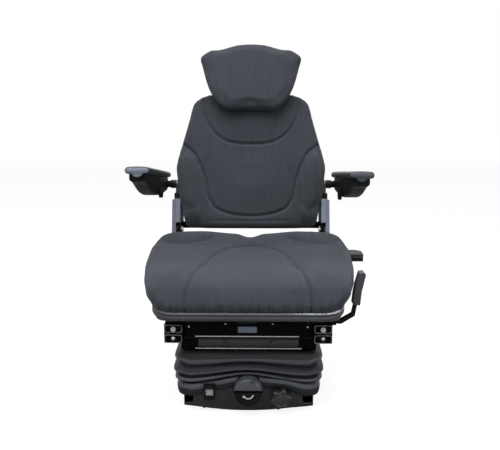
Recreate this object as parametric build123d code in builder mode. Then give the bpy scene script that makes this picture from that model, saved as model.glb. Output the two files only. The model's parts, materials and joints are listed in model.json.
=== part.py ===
from build123d import *
import os
from math import asin, cos, degrees, radians, sin

# A sprung operator seat. X runs to the right of someone who faces it, Y runs to its back, Z is up.
# The origin is the middle of the mounting slots, on the underside of the base.

os.makedirs("parts", exist_ok=True)

# Base tray
base_width = 324.0
base_back = 165.0
base_corner_front = -150.0
base_middle_front = -170.0
sheet = 3.0
slot_spacing_x = 216.0
slot_spacing_y = 262.0
slot_length = 24.0
slot_width = 9.0

# Scissor suspension
arm_length = 290.0
pivot_y = 147.0
suspension_height = 154.0
suspension_stroke = 80.0
roller_dia = 28.0
roller_width = 16.0
roller_gap = 0.3
axle_dia = 12.0
pivot_gap = 0.1
arm_thick = 5.0
arm_width = 28.0
channel_flange = 27.0
tube_dia = 20.0
pivot_tube_dia = 24.0
damper_reach = 95.0
damper_dia = 28.0
damper_pin_dia = 8.0
damper_pin_gap = 3.2

# Weight adjuster
spindle_z = 63.5
spindle_dia = 10.0
spring_x = 38.0
spring_dia = 28.0
spring_wire = 5.0
spring_turns = 9
spring_spigot = 7.0
carriage_y = 104.0
carriage_travel = 12.0
bracket_y = -60.0
bracket_width = 8.0

# Front controls
panel_front = -182.0
panel_thick = 4.0
panel_top = 72.0
window_x = -95.0
window_z = 45.0
window_width = 30.0
window_height = 32.0
crank_dia = 72.0
crank_front = -216.0
crank_disc = 8.0
grip_lug_x = 18.0
grip_lug_width = 5.0
grip_pin_dia = 4.0
star_x = 79.0
star_z = 42.5
star_dia = 57.0
star_front = -212.0
star_lobes = 7

# Slide rails
rail_x = 175.5
rail_width = 43.0
rail_length = 430.0
rail_sheet = 3.0
rail_gap = 0.5
rail_slot = 17.0
lower_rail_height = 22.0
upper_rail_height = 22.0
foot_width = 32.0
slide_travel = 75.0
lever_y = -150.0
lever_pivot_x = 207.0
lever_pivot_z = 224.0

# Seat
frame_sheet = 3.0
pan_half_width = 232.0
pan_front = -258.0
pan_back = 190.0
pan_corner = 52.0
pan_sheet = 3.0
pan_rim = 55.0
pan_front_rim = 41.0
pan_lip_drop = 24.0
pan_bottom_round = 26.0
soft_gap = 0.4
cushion_half_width = 254.0
cushion_front = -262.0
cushion_back = 205.0
cushion_top = 380.0
notch_round = 60.0
notch_depth = 12.0

# Back
back_angle = 11.0
back_origin_y = 304.6
back_origin_z = 373.7
recline_y = 285.0
recline_z = 372.0
recliner_sheet = 5.0
recliner_inner_x = 219.5
recliner_radius = 28.0
recliner_bolt_dia = 16.0
back_depth = 62.0
hoop_dia = 22.0
hoop_x = 150.0
hoop_depth = -16.0
shell_wall = 3.0
shell_depth = 50.0
cover_outer_x = 243.0

# Backrest extension
extension_back = 64.0
extension_front = 105.0
rod_x = 55.0
rod_dia = 12.0

# Armrests
armrest_x = 287.0
armrest_pad_width = 66.0
armrest_pad_low = 21.0
armrest_pad_thick = 17.0
armrest_length = 345.0
armrest_pivot_up = 139.0
armrest_pivot_out = 30.0
armrest_boss_dia = 26.0
armrest_tilt = {"left": 6.0, "right": 4.0}
tilt_knob_dia = 32.0
tilt_knob_width = 9.0

# Worked out from the sizes above
half_base = base_width / 2
lower_pivot_z = sheet + roller_gap + roller_dia / 2
upper_pivot_z = lower_pivot_z + suspension_height
arm_angle = asin(suspension_height / arm_length)
roller_y = pivot_y - arm_length * cos(arm_angle)
cross_y = (pivot_y + roller_y) / 2
cross_z = (lower_pivot_z + upper_pivot_z) / 2
track_half = roller_dia / 2 + roller_gap
frame_bottom = upper_pivot_z - track_half - sheet
frame_top = upper_pivot_z + track_half + sheet
channel_inner = half_base - channel_flange
outer_arm_x = channel_inner - arm_thick - 2.0
inner_arm_x = outer_arm_x - arm_thick - 3.0
damper_x = 16.0 - inner_arm_x
roller_x = half_base - sheet - roller_width / 2 - 1.0
frame_half = half_base + 3.0
rail_base = frame_top
rail_top = rail_base + lower_rail_height + 1.0 + upper_rail_height
foot_half_length = rail_length / 2 - rail_sheet - slide_travel - 0.5
pan_floor = rail_top + frame_sheet


def across(y):
    """A plane that faces the front at depth y: its own x is X and its y is Z."""
    return Plane.XZ.offset(-y)


def sideways(x):
    """A plane that faces +X at x: its own x is Y and its y is Z."""
    return Plane.YZ.offset(x)


def level(z):
    return Plane.XY.offset(z)


def back_plane(depth):
    """The backrest's own plane, depth in front of its rear face: x is X and y runs up the back."""
    lean = radians(back_angle)
    normal = Vector(0, -cos(lean), sin(lean))
    origin = Vector(0, back_origin_y, back_origin_z) + normal * depth
    return Plane(origin=origin, x_dir=(1, 0, 0), z_dir=normal)


def back_side(x):
    """A plane that faces +X at x: its own x runs to the rear, square to the back, and y runs up it."""
    lean = radians(back_angle)
    origin = (x, back_origin_y, back_origin_z)
    return Plane(origin=origin, x_dir=(0, cos(lean), -sin(lean)), z_dir=(1, 0, 0))


def arm_side(side, name, x):
    """An armrest's own plane at x: its own x runs forward from the pivot and y is up from the pad."""
    lean = radians(back_angle)
    tilt = radians(armrest_tilt[name])
    y = back_origin_y + armrest_pivot_up * sin(lean) - armrest_pivot_out * cos(lean)
    z = back_origin_z + armrest_pivot_up * cos(lean) + armrest_pivot_out * sin(lean)
    return Plane(origin=(side * x, y, z), x_dir=(0, -cos(tilt), sin(tilt)), z_dir=(-1, 0, 0))


SIDES = ((-1, "left"), (1, "right"))
track_length = base_back - base_corner_front

# Base tray: a pressed floor with a bowed front, a rear wall and a roller channel along each side
with BuildPart() as base_tray:
    with BuildSketch(Plane.XY):
        with BuildLine():
            Polyline(
                (half_base, base_corner_front),
                (half_base, base_back),
                (-half_base, base_back),
                (-half_base, base_corner_front),
            )
            ThreePointArc(
                (-half_base, base_corner_front),
                (0, base_middle_front),
                (half_base, base_corner_front),
            )
        make_face()
    extrude(amount=sheet)
    for side, name in SIDES:
        with BuildSketch(across(base_back)):
            with BuildLine():
                Polyline(
                    (side * half_base, 0),
                    (side * half_base, 2 * sheet + 2 * track_half),
                    (side * channel_inner, 2 * sheet + 2 * track_half),
                    (side * channel_inner, sheet + 2 * track_half),
                    (side * (half_base - sheet), sheet + 2 * track_half),
                    (side * (half_base - sheet), 0),
                    close=True,
                )
            make_face()
        extrude(amount=track_length)
        with BuildSketch(sideways(side * half_base)):
            with Locations((pivot_y, lower_pivot_z)):
                Circle(axle_dia / 2)
        extrude(amount=-side * (sheet + 1), mode=Mode.SUBTRACT)
    with BuildSketch(across(base_back)):
        with Locations((0, (2 * sheet + 2 * track_half) / 2)):
            Rectangle(2 * channel_inner, 2 * sheet + 2 * track_half)
    extrude(amount=sheet)
    with BuildSketch(across(bracket_y)):
        with BuildLine():
            Polyline((-11, spindle_z), (-11, 12), (-20, 6), (-20, sheet), (20, sheet), (20, 6), (11, 12))
            Line((11, 12), (11, spindle_z))
            ThreePointArc((11, spindle_z), (0, spindle_z + 11), (-11, spindle_z))
        make_face()
        with Locations((0, spindle_z)):
            Circle(spindle_dia / 2 + pivot_gap, mode=Mode.SUBTRACT)
    extrude(amount=bracket_width)
    with BuildSketch(level(0)):
        with GridLocations(slot_spacing_x, slot_spacing_y, 2, 2):
            SlotOverall(slot_length, slot_width)
    extrude(amount=sheet, mode=Mode.SUBTRACT)
base_tray.part.label = "base_tray"
export_step(base_tray.part, "parts/base_tray.step")

# Pivot pins through the channel walls, with a head outside
with BuildPart() as lower_pivot_pins:
    for side, name in SIDES:
        with BuildSketch(sideways(side * (outer_arm_x + 0.2))):
            with Locations((pivot_y, lower_pivot_z)):
                Circle(axle_dia / 2)
        extrude(amount=side * (half_base - outer_arm_x - 0.2))
        with BuildSketch(sideways(side * half_base)):
            with Locations((pivot_y, lower_pivot_z)):
                Circle(axle_dia / 2 + 4)
        extrude(amount=side * 3)
lower_pivot_pins.part.label = "lower_pivot_pins"
export_step(lower_pivot_pins.part, "parts/lower_pivot_pins.step")

# Rubber bump stops on the tray, as tall as the frame's lowest place
with BuildPart() as bump_stops:
    with BuildSketch(level(sheet)):
        with Locations((-72, 117), (72, 117)):
            Circle(13)
    extrude(amount=frame_top - suspension_stroke - 2 * sheet - 1.0, taper=2)
bump_stops.part.label = "bump_stops"
export_step(bump_stops.part, "parts/bump_stops.step")


def arm_profile(low_front):
    """One scissor arm in its own plane: a round-ended strap from the fixed pivot to the roller."""
    fixed_z = upper_pivot_z if low_front else lower_pivot_z
    angle = degrees(arm_angle) * (1 if low_front else -1)
    with Locations((cross_y, cross_z)):
        SlotCenterToCenter(arm_length, arm_width, rotation=angle)
    with Locations((pivot_y, fixed_z)):
        Circle(axle_dia / 2 + pivot_gap, mode=Mode.SUBTRACT)
    hole = 5.0 + pivot_gap
    with Locations((cross_y, cross_z)):
        Circle(hole, mode=Mode.SUBTRACT)


# Outer scissor arms: low at the back, high at the front
with BuildPart() as outer_arms:
    for side, name in SIDES:
        with BuildSketch(sideways(side * outer_arm_x)):
            arm_profile(False)
        extrude(amount=side * arm_thick)
        with BuildSketch(sideways(side * (outer_arm_x + arm_thick))):
            with Locations((roller_y, upper_pivot_z)):
                Circle(axle_dia / 2)
        extrude(amount=side * (roller_x + roller_width / 2 - outer_arm_x - arm_thick + 0.6))
    with BuildSketch(sideways(-outer_arm_x)):
        with Locations((roller_y, upper_pivot_z)):
            Circle(tube_dia / 2)
    extrude(amount=2 * outer_arm_x)
    with BuildSketch(sideways(-outer_arm_x)):
        with Locations((pivot_y, lower_pivot_z)):
            Circle(pivot_tube_dia / 2)
    extrude(amount=2 * outer_arm_x)
    with BuildSketch(sideways(-outer_arm_x)):
        with Locations(
            (cross_y - damper_reach * cos(arm_angle), cross_z + damper_reach * sin(arm_angle))
        ):
            Circle(damper_pin_dia / 2)
    extrude(amount=outer_arm_x + damper_x + 12)
outer_arms.part.label = "outer_arms"
export_step(outer_arms.part, "parts/outer_arms.step")

# Inner scissor arms: low at the front, high at the back, with a plug for each spring
with BuildPart() as inner_arms:
    for side, name in SIDES:
        with BuildSketch(sideways(side * inner_arm_x)):
            arm_profile(True)
        extrude(amount=side * arm_thick)
        with BuildSketch(sideways(side * (inner_arm_x + arm_thick))):
            with Locations((roller_y, lower_pivot_z)):
                Circle(axle_dia / 2)
        extrude(amount=side * (roller_x + roller_width / 2 - inner_arm_x - arm_thick + 0.6))
        with BuildSketch(across(roller_y + tube_dia / 4)):
            with Locations((side * spring_x, lower_pivot_z)):
                Circle(spring_dia / 2 - spring_wire - soft_gap)
        extrude(amount=-(tube_dia / 4 + spring_spigot))
    with BuildSketch(sideways(-inner_arm_x)):
        with Locations((roller_y, lower_pivot_z)):
            Circle(tube_dia / 2)
    extrude(amount=2 * inner_arm_x)
    with BuildSketch(sideways(-inner_arm_x)):
        with Locations((pivot_y, upper_pivot_z)):
            Circle(pivot_tube_dia / 2)
    extrude(amount=2 * inner_arm_x)
    with BuildSketch(sideways(-inner_arm_x)):
        with Locations(
            (cross_y + damper_reach * cos(arm_angle), cross_z + damper_reach * sin(arm_angle))
        ):
            Circle(damper_pin_dia / 2)
    extrude(amount=inner_arm_x + damper_x + 12)
inner_arms.part.label = "inner_arms"
export_step(inner_arms.part, "parts/inner_arms.step")

# Pins where the arms cross
with BuildPart() as cross_pins:
    for side, name in SIDES:
        with BuildSketch(sideways(side * (inner_arm_x - 3))):
            with Locations((cross_y, cross_z)):
                Circle(5.0)
        extrude(amount=side * (outer_arm_x + arm_thick + 3 - inner_arm_x))
        with BuildSketch(sideways(side * (outer_arm_x + arm_thick + 0.1))):
            with Locations((cross_y, cross_z)):
                Circle(9.0)
        extrude(amount=side * 3)
        with BuildSketch(sideways(side * (inner_arm_x - 0.1))):
            with Locations((cross_y, cross_z)):
                Circle(8.0)
        extrude(amount=-side * 3)
cross_pins.part.label = "cross_pins"
export_step(cross_pins.part, "parts/cross_pins.step")

# Rollers on the free ends of the arms
for label, z in (("lower_rollers", lower_pivot_z), ("upper_rollers", upper_pivot_z)):
    with BuildPart() as rollers:
        for side, name in SIDES:
            with BuildSketch(sideways(side * (roller_x - roller_width / 2))):
                with Locations((roller_y, z)):
                    Circle(roller_dia / 2)
                    Circle(axle_dia / 2 + pivot_gap, mode=Mode.SUBTRACT)
            extrude(amount=side * roller_width)
    rollers.part.label = label
    export_step(rollers.part, f"parts/{label}.step")

# Damper between the two pairs of arms: its tube on the outer arms, its rod's eye on the inner ones
damper_z = cross_z + damper_reach * sin(arm_angle)
damper_front = cross_y - damper_reach * cos(arm_angle)
damper_rear = cross_y + damper_reach * cos(arm_angle)
damper_eye = damper_pin_dia / 2 + 4
with BuildPart() as damper_tube:
    with BuildSketch(sideways(damper_x - 9)):
        with Locations((damper_front, damper_z)):
            Circle(damper_eye)
            Circle(damper_pin_dia / 2 + pivot_gap, mode=Mode.SUBTRACT)
    extrude(amount=18)
    with BuildSketch(across(damper_front + damper_eye - 1)):
        with Locations((damper_x, damper_z)):
            Circle(damper_dia / 2)
    extrude(amount=-92)
    with BuildSketch(across(damper_front + damper_eye + 4)):
        with Locations((damper_x, damper_z)):
            Circle(5.0 + pivot_gap)
    extrude(amount=-92, mode=Mode.SUBTRACT)
damper_tube.part.label = "damper_tube"
export_step(damper_tube.part, "parts/damper_tube.step")

with BuildPart() as damper_rod:
    with BuildSketch(sideways(damper_x - 9)):
        with Locations((damper_rear, damper_z)):
            Circle(damper_pin_dia / 2 + damper_pin_gap + 4)
            Circle(damper_pin_dia / 2 + damper_pin_gap, mode=Mode.SUBTRACT)
    extrude(amount=18)
    with BuildSketch(across(damper_rear - damper_pin_dia / 2 - damper_pin_gap - 3)):
        with Locations((damper_x, damper_z)):
            Circle(5.0)
    extrude(amount=92)
damper_rod.part.label = "damper_rod"
export_step(damper_rod.part, "parts/damper_rod.step")

# Weight spindle with a collar each side of its bearing, the carriage that it draws, and the two
# tension springs
spindle_front = panel_front + panel_thick
spindle_back = carriage_y + carriage_travel + 12
with BuildPart() as spindle:
    with BuildSketch(across(spindle_back)):
        with Locations((0, spindle_z)):
            Circle(spindle_dia / 2)
    extrude(amount=spindle_back - spindle_front + 6)
    for y in (bracket_y + 3.2, bracket_y - bracket_width - 0.2):
        with BuildSketch(across(y)):
            with Locations((0, spindle_z)):
                Circle(spindle_dia / 2 + 3)
        extrude(amount=3)
spindle.part.label = "spindle"
export_step(spindle.part, "parts/spindle.step")

with BuildPart() as spring_carriage:
    with BuildSketch(across(carriage_y + 8)):
        with BuildLine():
            Polyline(
                (-spring_x - 13, 5), (spring_x + 13, 5), (spring_x + 13, 34), (16, spindle_z + 10),
                (-16, spindle_z + 10), (-spring_x - 13, 34), close=True,
            )
        make_face()
        with Locations((0, spindle_z)):
            Circle(spindle_dia / 2 + pivot_gap, mode=Mode.SUBTRACT)
    extrude(amount=16)
    for side, name in SIDES:
        with BuildSketch(across(carriage_y - 8)):
            with Locations((side * spring_x, lower_pivot_z)):
                Circle(spring_dia / 2 - spring_wire - soft_gap)
        extrude(amount=16)
spring_carriage.part.label = "spring_carriage"
export_step(spring_carriage.part, "parts/spring_carriage.step")

spring_start = roller_y + tube_dia / 2 + spring_wire
spring_end = carriage_y - 8 - spring_wire
with BuildPart() as suspension_springs:
    for side, name in SIDES:
        with BuildLine():
            coil = Helix(
                pitch=(spring_end - spring_start) / spring_turns,
                height=spring_end - spring_start,
                radius=(spring_dia - spring_wire) / 2,
                center=(side * spring_x, spring_start, lower_pivot_z),
                direction=(0, 1, 0),
            )
        with BuildSketch(Plane(origin=coil @ 0, z_dir=coil % 0)):
            Circle(spring_wire / 2)
        sweep(path=coil, is_frenet=True)
suspension_springs.part.label = "suspension_springs"
export_step(suspension_springs.part, "parts/suspension_springs.step")

# Front panel of the base: a rimmed window, a boss for the star knob, and ribs that guide the slider
panel_left = -122.0
panel_right = 114.0
panel_low = 12.0
panel_foot = 120.0
with BuildPart() as control_panel:
    with BuildSketch(across(panel_front + panel_thick)):
        with BuildLine():
            ThreePointArc((panel_right, panel_low), (0, sheet), (panel_left, panel_low))
            Line((panel_left, panel_low), (panel_left, 60))
            TangentArc((panel_left, 60), (panel_left + 12, panel_top), tangent=(0, 1))
            Line((panel_left + 12, panel_top), (panel_right - 34, panel_top))
            TangentArc(
                (panel_right - 34, panel_top), (panel_right, panel_top - 34), tangent=(1, 0)
            )
            Line((panel_right, panel_top - 34), (panel_right, panel_low))
        make_face()
        with Locations((window_x, window_z)):
            Rectangle(window_width - 8, window_height - 8, mode=Mode.SUBTRACT)
        with Locations((0, spindle_z)):
            Circle(spindle_dia / 2 + 1, mode=Mode.SUBTRACT)
    extrude(amount=panel_thick)
    with BuildSketch(level(sheet)):
        with Locations((0, panel_front + panel_thick)):
            Rectangle(panel_foot, 24, align=(Align.CENTER, Align.MIN))
    extrude(amount=sheet)
    with BuildSketch(across(panel_front)):
        with Locations((window_x, window_z)):
            RectangleRounded(window_width, window_height, 3)
            Rectangle(window_width - 8, window_height - 8, mode=Mode.SUBTRACT)
        with Locations((star_x, star_z)):
            Circle(15)
    extrude(amount=2.5)
    with BuildSketch(across(panel_front - 2.5)):
        with Locations((star_x, star_z)):
            Circle(15)
    extrude(amount=3.5, taper=8)
    with BuildSketch(level(2 * sheet)):
        for x in (window_x - 14, window_x + 14):
            with Locations((x, panel_front + panel_thick)):
                Rectangle(5, 6, align=(Align.CENTER, Align.MIN))
    extrude(amount=60)
    with BuildSketch(across(panel_front - 6)):
        with Locations((star_x, star_z)):
            Circle(4.0 + pivot_gap)
    extrude(amount=-(6 + panel_thick), mode=Mode.SUBTRACT)
control_panel.part.label = "control_panel"
export_step(control_panel.part, "parts/control_panel.step")

with BuildPart() as weight_indicator:
    with BuildSketch(across(panel_front + panel_thick + 3.4)):
        with Locations((window_x, window_z)):
            Rectangle(22.4, 12)
    extrude(amount=3)
    with BuildSketch(across(panel_front + panel_thick + 0.4)):
        with Locations((window_x, window_z)):
            Rectangle(window_width - 12, 6)
    extrude(amount=3)
weight_indicator.part.label = "weight_indicator"
export_step(weight_indicator.part, "parts/weight_indicator.step")

# Weight crank: a round hub on the spindle with a fold-out grip set into its upper half
crank_back = panel_front - 0.8
hub_split = spindle_z + 2
grip_back = crank_back - crank_disc - 2.0
grip_front = crank_front + 1.5
grip_low = hub_split + 0.6
grip_round = 6.4
grip_axis_y = grip_front + grip_round
grip_axis_z = grip_low + grip_round
lug_round = grip_pin_dia / 2 + 1.8
with BuildPart() as crank_hub:
    with BuildSketch(across(crank_back)):
        with Locations((0, spindle_z)):
            Circle(crank_dia / 2)
        with Locations((0, hub_split)):
            Rectangle(crank_dia, crank_dia, align=(Align.CENTER, Align.MIN), mode=Mode.SUBTRACT)
    extrude(amount=crank_back - crank_front, taper=5)
    with BuildSketch(across(crank_back)):
        with Locations((0, spindle_z)):
            Circle(crank_dia / 2)
    extrude(amount=crank_disc)
    with BuildSketch(across(crank_back)):
        with Locations((0, spindle_z)):
            Circle(spindle_dia / 2)
    extrude(amount=6, mode=Mode.SUBTRACT)
    for x in (-grip_lug_x, grip_lug_x):
        with BuildSketch(sideways(x - grip_lug_width / 2)):
            with Locations((grip_axis_y, grip_axis_z)):
                Circle(lug_round)
                Rectangle(
                    crank_back - crank_disc - grip_axis_y + 1,
                    2 * lug_round,
                    align=(Align.MIN, Align.CENTER),
                )
        extrude(amount=grip_lug_width)
    with BuildSketch(sideways(-grip_lug_x - 6)):
        with Locations((grip_axis_y, grip_axis_z)):
            Circle(grip_pin_dia / 2)
    extrude(amount=2 * (grip_lug_x + 6))
crank_hub.part.label = "crank_hub"
export_step(crank_hub.part, "parts/crank_hub.step")

with BuildPart() as crank_grip:
    with BuildSketch(across(grip_back)):
        with Locations((0, spindle_z)):
            Circle(crank_dia / 2 - 1)
        with Locations((0, grip_low)):
            Rectangle(crank_dia, crank_dia, align=(Align.CENTER, Align.MAX), mode=Mode.SUBTRACT)
    extrude(amount=grip_back - grip_front, taper=5)
    fillet(crank_grip.faces().sort_by(Axis.Y)[0].edges().filter_by(GeomType.CIRCLE), 5)
    with BuildSketch(across(crank_front)):
        with Locations((11, hub_split + 24)):
            Rectangle(12, 9)
    extrude(amount=-6, mode=Mode.SUBTRACT)
    with BuildSketch(sideways(-crank_dia / 2)):
        with Locations((grip_axis_y, grip_axis_z)):
            Rectangle(2 * grip_round, 2 * grip_round, align=(Align.MAX, Align.MAX))
            Circle(grip_round, mode=Mode.SUBTRACT)
    extrude(amount=crank_dia, mode=Mode.SUBTRACT)
    for x in (-grip_lug_x, grip_lug_x):
        with BuildSketch(sideways(x - grip_lug_width / 2 - 0.4)):
            with Locations((grip_axis_y - lug_round - 0.4, grip_axis_z + lug_round + 0.4)):
                Rectangle(40, 20, align=(Align.MIN, Align.MAX))
            with Locations((grip_axis_y, grip_axis_z)):
                Circle(lug_round + 0.4)
        extrude(amount=grip_lug_width + 0.8, mode=Mode.SUBTRACT)
    with BuildSketch(sideways(-grip_lug_x - 7)):
        with Locations((grip_axis_y, grip_axis_z)):
            Circle(grip_pin_dia / 2 + pivot_gap)
    extrude(amount=2 * (grip_lug_x + 7), mode=Mode.SUBTRACT)
crank_grip.part.label = "crank_grip"
export_step(crank_grip.part, "parts/crank_grip.step")

# Star knob: round lobes about a hub, with a cap in its middle
with BuildPart() as star_knob:
    knob_back = panel_front - 6.5
    lobe = star_dia * 0.135
    with BuildSketch(across(knob_back)):
        with Locations((star_x, star_z)):
            Circle(star_dia / 2 - lobe * 1.1)
            with PolarLocations(star_dia / 2 - lobe, star_lobes, start_angle=90):
                Circle(lobe)
    extrude(amount=knob_back - star_front - 4)
    with BuildSketch(across(star_front + 4)):
        with Locations((star_x, star_z)):
            Circle(star_dia * 0.22)
    extrude(amount=4, taper=20)
    with BuildSketch(across(panel_front + panel_thick + 10)):
        with Locations((star_x, star_z)):
            Circle(4.0)
    extrude(amount=panel_front + panel_thick + 10 - knob_back)
star_knob.part.label = "star_knob"
export_step(star_knob.part, "parts/star_knob.step")

# Upper frame: roller channels along the sides, a front beam and a rear deck
deck_front = 96.0
with BuildPart() as upper_frame:
    for side, name in SIDES:
        with BuildSketch(across(base_back)):
            with BuildLine():
                Polyline(
                    (side * frame_half, frame_bottom),
                    (side * frame_half, frame_top),
                    (side * channel_inner, frame_top),
                    (side * channel_inner, frame_top - sheet),
                    (side * (half_base), frame_top - sheet),
                    (side * (half_base), frame_bottom + sheet),
                    (side * channel_inner, frame_bottom + sheet),
                    (side * channel_inner, frame_bottom),
                    close=True,
                )
            make_face()
        extrude(amount=base_back - base_corner_front + 8)
        with BuildSketch(sideways(side * frame_half)):
            with Locations((pivot_y, upper_pivot_z)):
                Circle(axle_dia / 2)
        extrude(amount=-side * (sheet + 1), mode=Mode.SUBTRACT)
    with BuildSketch(across(base_corner_front - 8)):
        with Locations((0, (frame_bottom + frame_top) / 2)):
            Rectangle(2 * frame_half, frame_top - frame_bottom)
            Rectangle(2 * channel_inner - 30, frame_top - frame_bottom - 16, mode=Mode.SUBTRACT)
    extrude(amount=sheet)
    with BuildSketch(level(frame_top - sheet)):
        with Locations((0, base_corner_front - 8)):
            Rectangle(2 * channel_inner + 2, 30, align=(Align.CENTER, Align.MIN))
        with Locations((0, deck_front)):
            Rectangle(
                2 * channel_inner + 2, base_back - deck_front, align=(Align.CENTER, Align.MIN)
            )
    extrude(amount=sheet)
    with BuildSketch(across(base_back)):
        with Locations((0, (frame_bottom + frame_top) / 2)):
            Rectangle(2 * channel_inner, frame_top - frame_bottom)
    extrude(amount=sheet)
upper_frame.part.label = "upper_frame"
export_step(upper_frame.part, "parts/upper_frame.step")
beam_front = base_corner_front - 8 - sheet

with BuildPart() as upper_pivot_pins:
    for side, name in SIDES:
        with BuildSketch(sideways(side * (inner_arm_x + 0.2))):
            with Locations((pivot_y, upper_pivot_z)):
                Circle(axle_dia / 2)
        extrude(amount=side * (frame_half - inner_arm_x - 0.2))
        with BuildSketch(sideways(side * frame_half)):
            with Locations((pivot_y, upper_pivot_z)):
                Circle(axle_dia / 2 + 4)
        extrude(amount=side * 3)
upper_pivot_pins.part.label = "upper_pivot_pins"
export_step(upper_pivot_pins.part, "parts/upper_pivot_pins.step")

# Bright bars along the front beam, the rubber flap between them and its two clips
bar_half = 130.0
bar_height = 4.5
with BuildPart() as front_bars:
    for z in (frame_bottom + 3.5, frame_top - 2):
        with BuildSketch(across(beam_front)):
            with Locations((0, z)):
                SlotOverall(2 * bar_half, bar_height)
        extrude(amount=8)
front_bars.part.label = "front_bars"
export_step(front_bars.part, "parts/front_bars.step")

flap_half = 122.0
clip_x = 56.0
flap_low = frame_bottom + 7
flap_high = frame_top - 5.6
with BuildPart() as front_flap:
    with BuildSketch(sideways(-flap_half)):
        with BuildLine():
            Polyline(
                (beam_front, flap_low), (beam_front, flap_high), (beam_front - 3, flap_high)
            )
            ThreePointArc(
                (beam_front - 3, flap_high),
                (beam_front - 8, (flap_low + flap_high) / 2 - 3),
                (beam_front - 7, flap_low),
            )
            Line((beam_front - 7, flap_low), (beam_front, flap_low))
        make_face()
    extrude(amount=2 * flap_half)
front_flap.part.label = "front_flap"
export_step(front_flap.part, "parts/front_flap.step")

with BuildPart() as flap_clips:
    for x in (-clip_x, clip_x):
        with BuildSketch(across(beam_front - 8.5)):
            with Locations((x, (flap_low + flap_high) / 2)):
                Circle(5)
        extrude(amount=2, taper=25)
flap_clips.part.label = "flap_clips"
export_step(flap_clips.part, "parts/flap_clips.step")

# Bellows: round-cornered folds that widen and narrow by turns, open above and below
bellows_folds = (
    (frame_bottom - 0.4, 4.0),
    (frame_bottom - 8, 15.0),
    (130, 24.0),
    (107, 17.0),
    (94, 25.0),
    (80, 16.0),
    (71, 23.0),
    (61, 14.0),
    (51, 20.0),
    (42, 12.0),
    (32, 18.0),
    (20, 10.0),
    (10, 7.0),
)
bellows_wall = 1.6
bellows_corner = 8.0


def fold_outline(spread):
    """The plan of the bellows, spread past the tray's own outline."""
    with Locations((0, 0)):
        RectangleRounded(
            2 * (half_base + spread), 2 * (base_back + spread), bellows_corner + 1.2 * spread
        )


with BuildPart() as bellows:
    for z, spread in bellows_folds:
        with BuildSketch(level(z)):
            fold_outline(spread)
    loft(ruled=True)
    for z, spread in bellows_folds:
        step = 0.01 if z in (bellows_folds[0][0], bellows_folds[-1][0]) else 0.0
        with BuildSketch(level(z + (step if z > 50 else -step))):
            fold_outline(spread - bellows_wall)
    loft(ruled=True, mode=Mode.SUBTRACT)
    with BuildSketch(across(-base_back + 2)):
        with Locations(((panel_left + panel_right) / 2, 0)):
            RectangleRounded(panel_right - panel_left + 8, 2 * (panel_top + 6), 16)
        with Locations((0, spindle_z)):
            Circle(crank_dia / 2 + 4)
    extrude(amount=120, mode=Mode.SUBTRACT)
bellows.part.label = "bellows"
export_step(bellows.part, "parts/bellows.step")


half_rail = rail_length / 2
lower_bolt_z = rail_base + lower_rail_height / 2 - 1
lower_rail_top = rail_base + lower_rail_height
upper_rail_base = lower_rail_top + 1.0
for side, name in SIDES:
    # Lower rail: a lipped channel with an end plate at each end that stops the foot of the upper one
    with BuildPart() as lower_rail:
        with BuildSketch(across(half_rail)):
            with Locations((side * rail_x, rail_base)):
                Rectangle(rail_width, lower_rail_height, align=(Align.CENTER, Align.MIN))
            with Locations((side * rail_x, rail_base + rail_sheet)):
                Rectangle(
                    rail_width - 2 * rail_sheet,
                    lower_rail_height - 2 * rail_sheet,
                    align=(Align.CENTER, Align.MIN),
                    mode=Mode.SUBTRACT,
                )
            with Locations((side * rail_x, rail_base + rail_sheet)):
                Rectangle(
                    rail_slot, lower_rail_height, align=(Align.CENTER, Align.MIN), mode=Mode.SUBTRACT
                )
        extrude(amount=rail_length)
        for y in (half_rail, -half_rail + rail_sheet):
            with BuildSketch(across(y)):
                with Locations((side * rail_x, rail_base)):
                    Rectangle(rail_width, lower_rail_height - rail_sheet, align=(Align.CENTER, Align.MIN))
            extrude(amount=rail_sheet)
        with BuildSketch(across(-half_rail)):
            with Locations((side * rail_x, lower_bolt_z)):
                Circle(5)
        extrude(amount=3, taper=15)
    lower_rail.part.label = f"lower_rail_{name}"
    export_step(lower_rail.part, f"parts/lower_rail_{name}.step")

    # Upper rail: a box with end plates, a neck through the slot and a foot that runs under the lips
    with BuildPart() as upper_rail:
        with BuildSketch(across(half_rail)):
            with Locations((side * rail_x, upper_rail_base)):
                Rectangle(rail_width, upper_rail_height, align=(Align.CENTER, Align.MIN))
            with Locations((side * rail_x, upper_rail_base + rail_sheet)):
                Rectangle(
                    rail_width - 2 * rail_sheet,
                    upper_rail_height - 2 * rail_sheet,
                    align=(Align.CENTER, Align.MIN),
                    mode=Mode.SUBTRACT,
                )
        extrude(amount=rail_length)
        for y in (half_rail, -half_rail + rail_sheet):
            with BuildSketch(across(y)):
                with Locations((side * rail_x, upper_rail_base)):
                    Rectangle(rail_width, upper_rail_height, align=(Align.CENTER, Align.MIN))
            extrude(amount=rail_sheet)
        with BuildSketch(across(foot_half_length)):
            with Locations((side * rail_x, rail_base + rail_sheet + rail_gap)):
                Rectangle(
                    foot_width,
                    lower_rail_height - 2 * rail_sheet - 2 * rail_gap,
                    align=(Align.CENTER, Align.MIN),
                )
                Rectangle(
                    rail_slot - 2 * rail_gap, lower_rail_height, align=(Align.CENTER, Align.MIN)
                )
        extrude(amount=2 * foot_half_length)
        if name == "right":
            for y in (lever_y + 14, lever_y - 11):
                with BuildSketch(across(y)):
                    with Locations((rail_x + rail_width / 2 - 1, lever_pivot_z)):
                        Rectangle(17, 16, align=(Align.MIN, Align.CENTER))
                extrude(amount=3)
            with BuildSketch(across(lever_y + 16)):
                with Locations((lever_pivot_x, lever_pivot_z)):
                    Circle(3)
            extrude(amount=32)
    upper_rail.part.label = f"upper_rail_{name}"
    export_step(upper_rail.part, f"parts/upper_rail_{name}.step")


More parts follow.
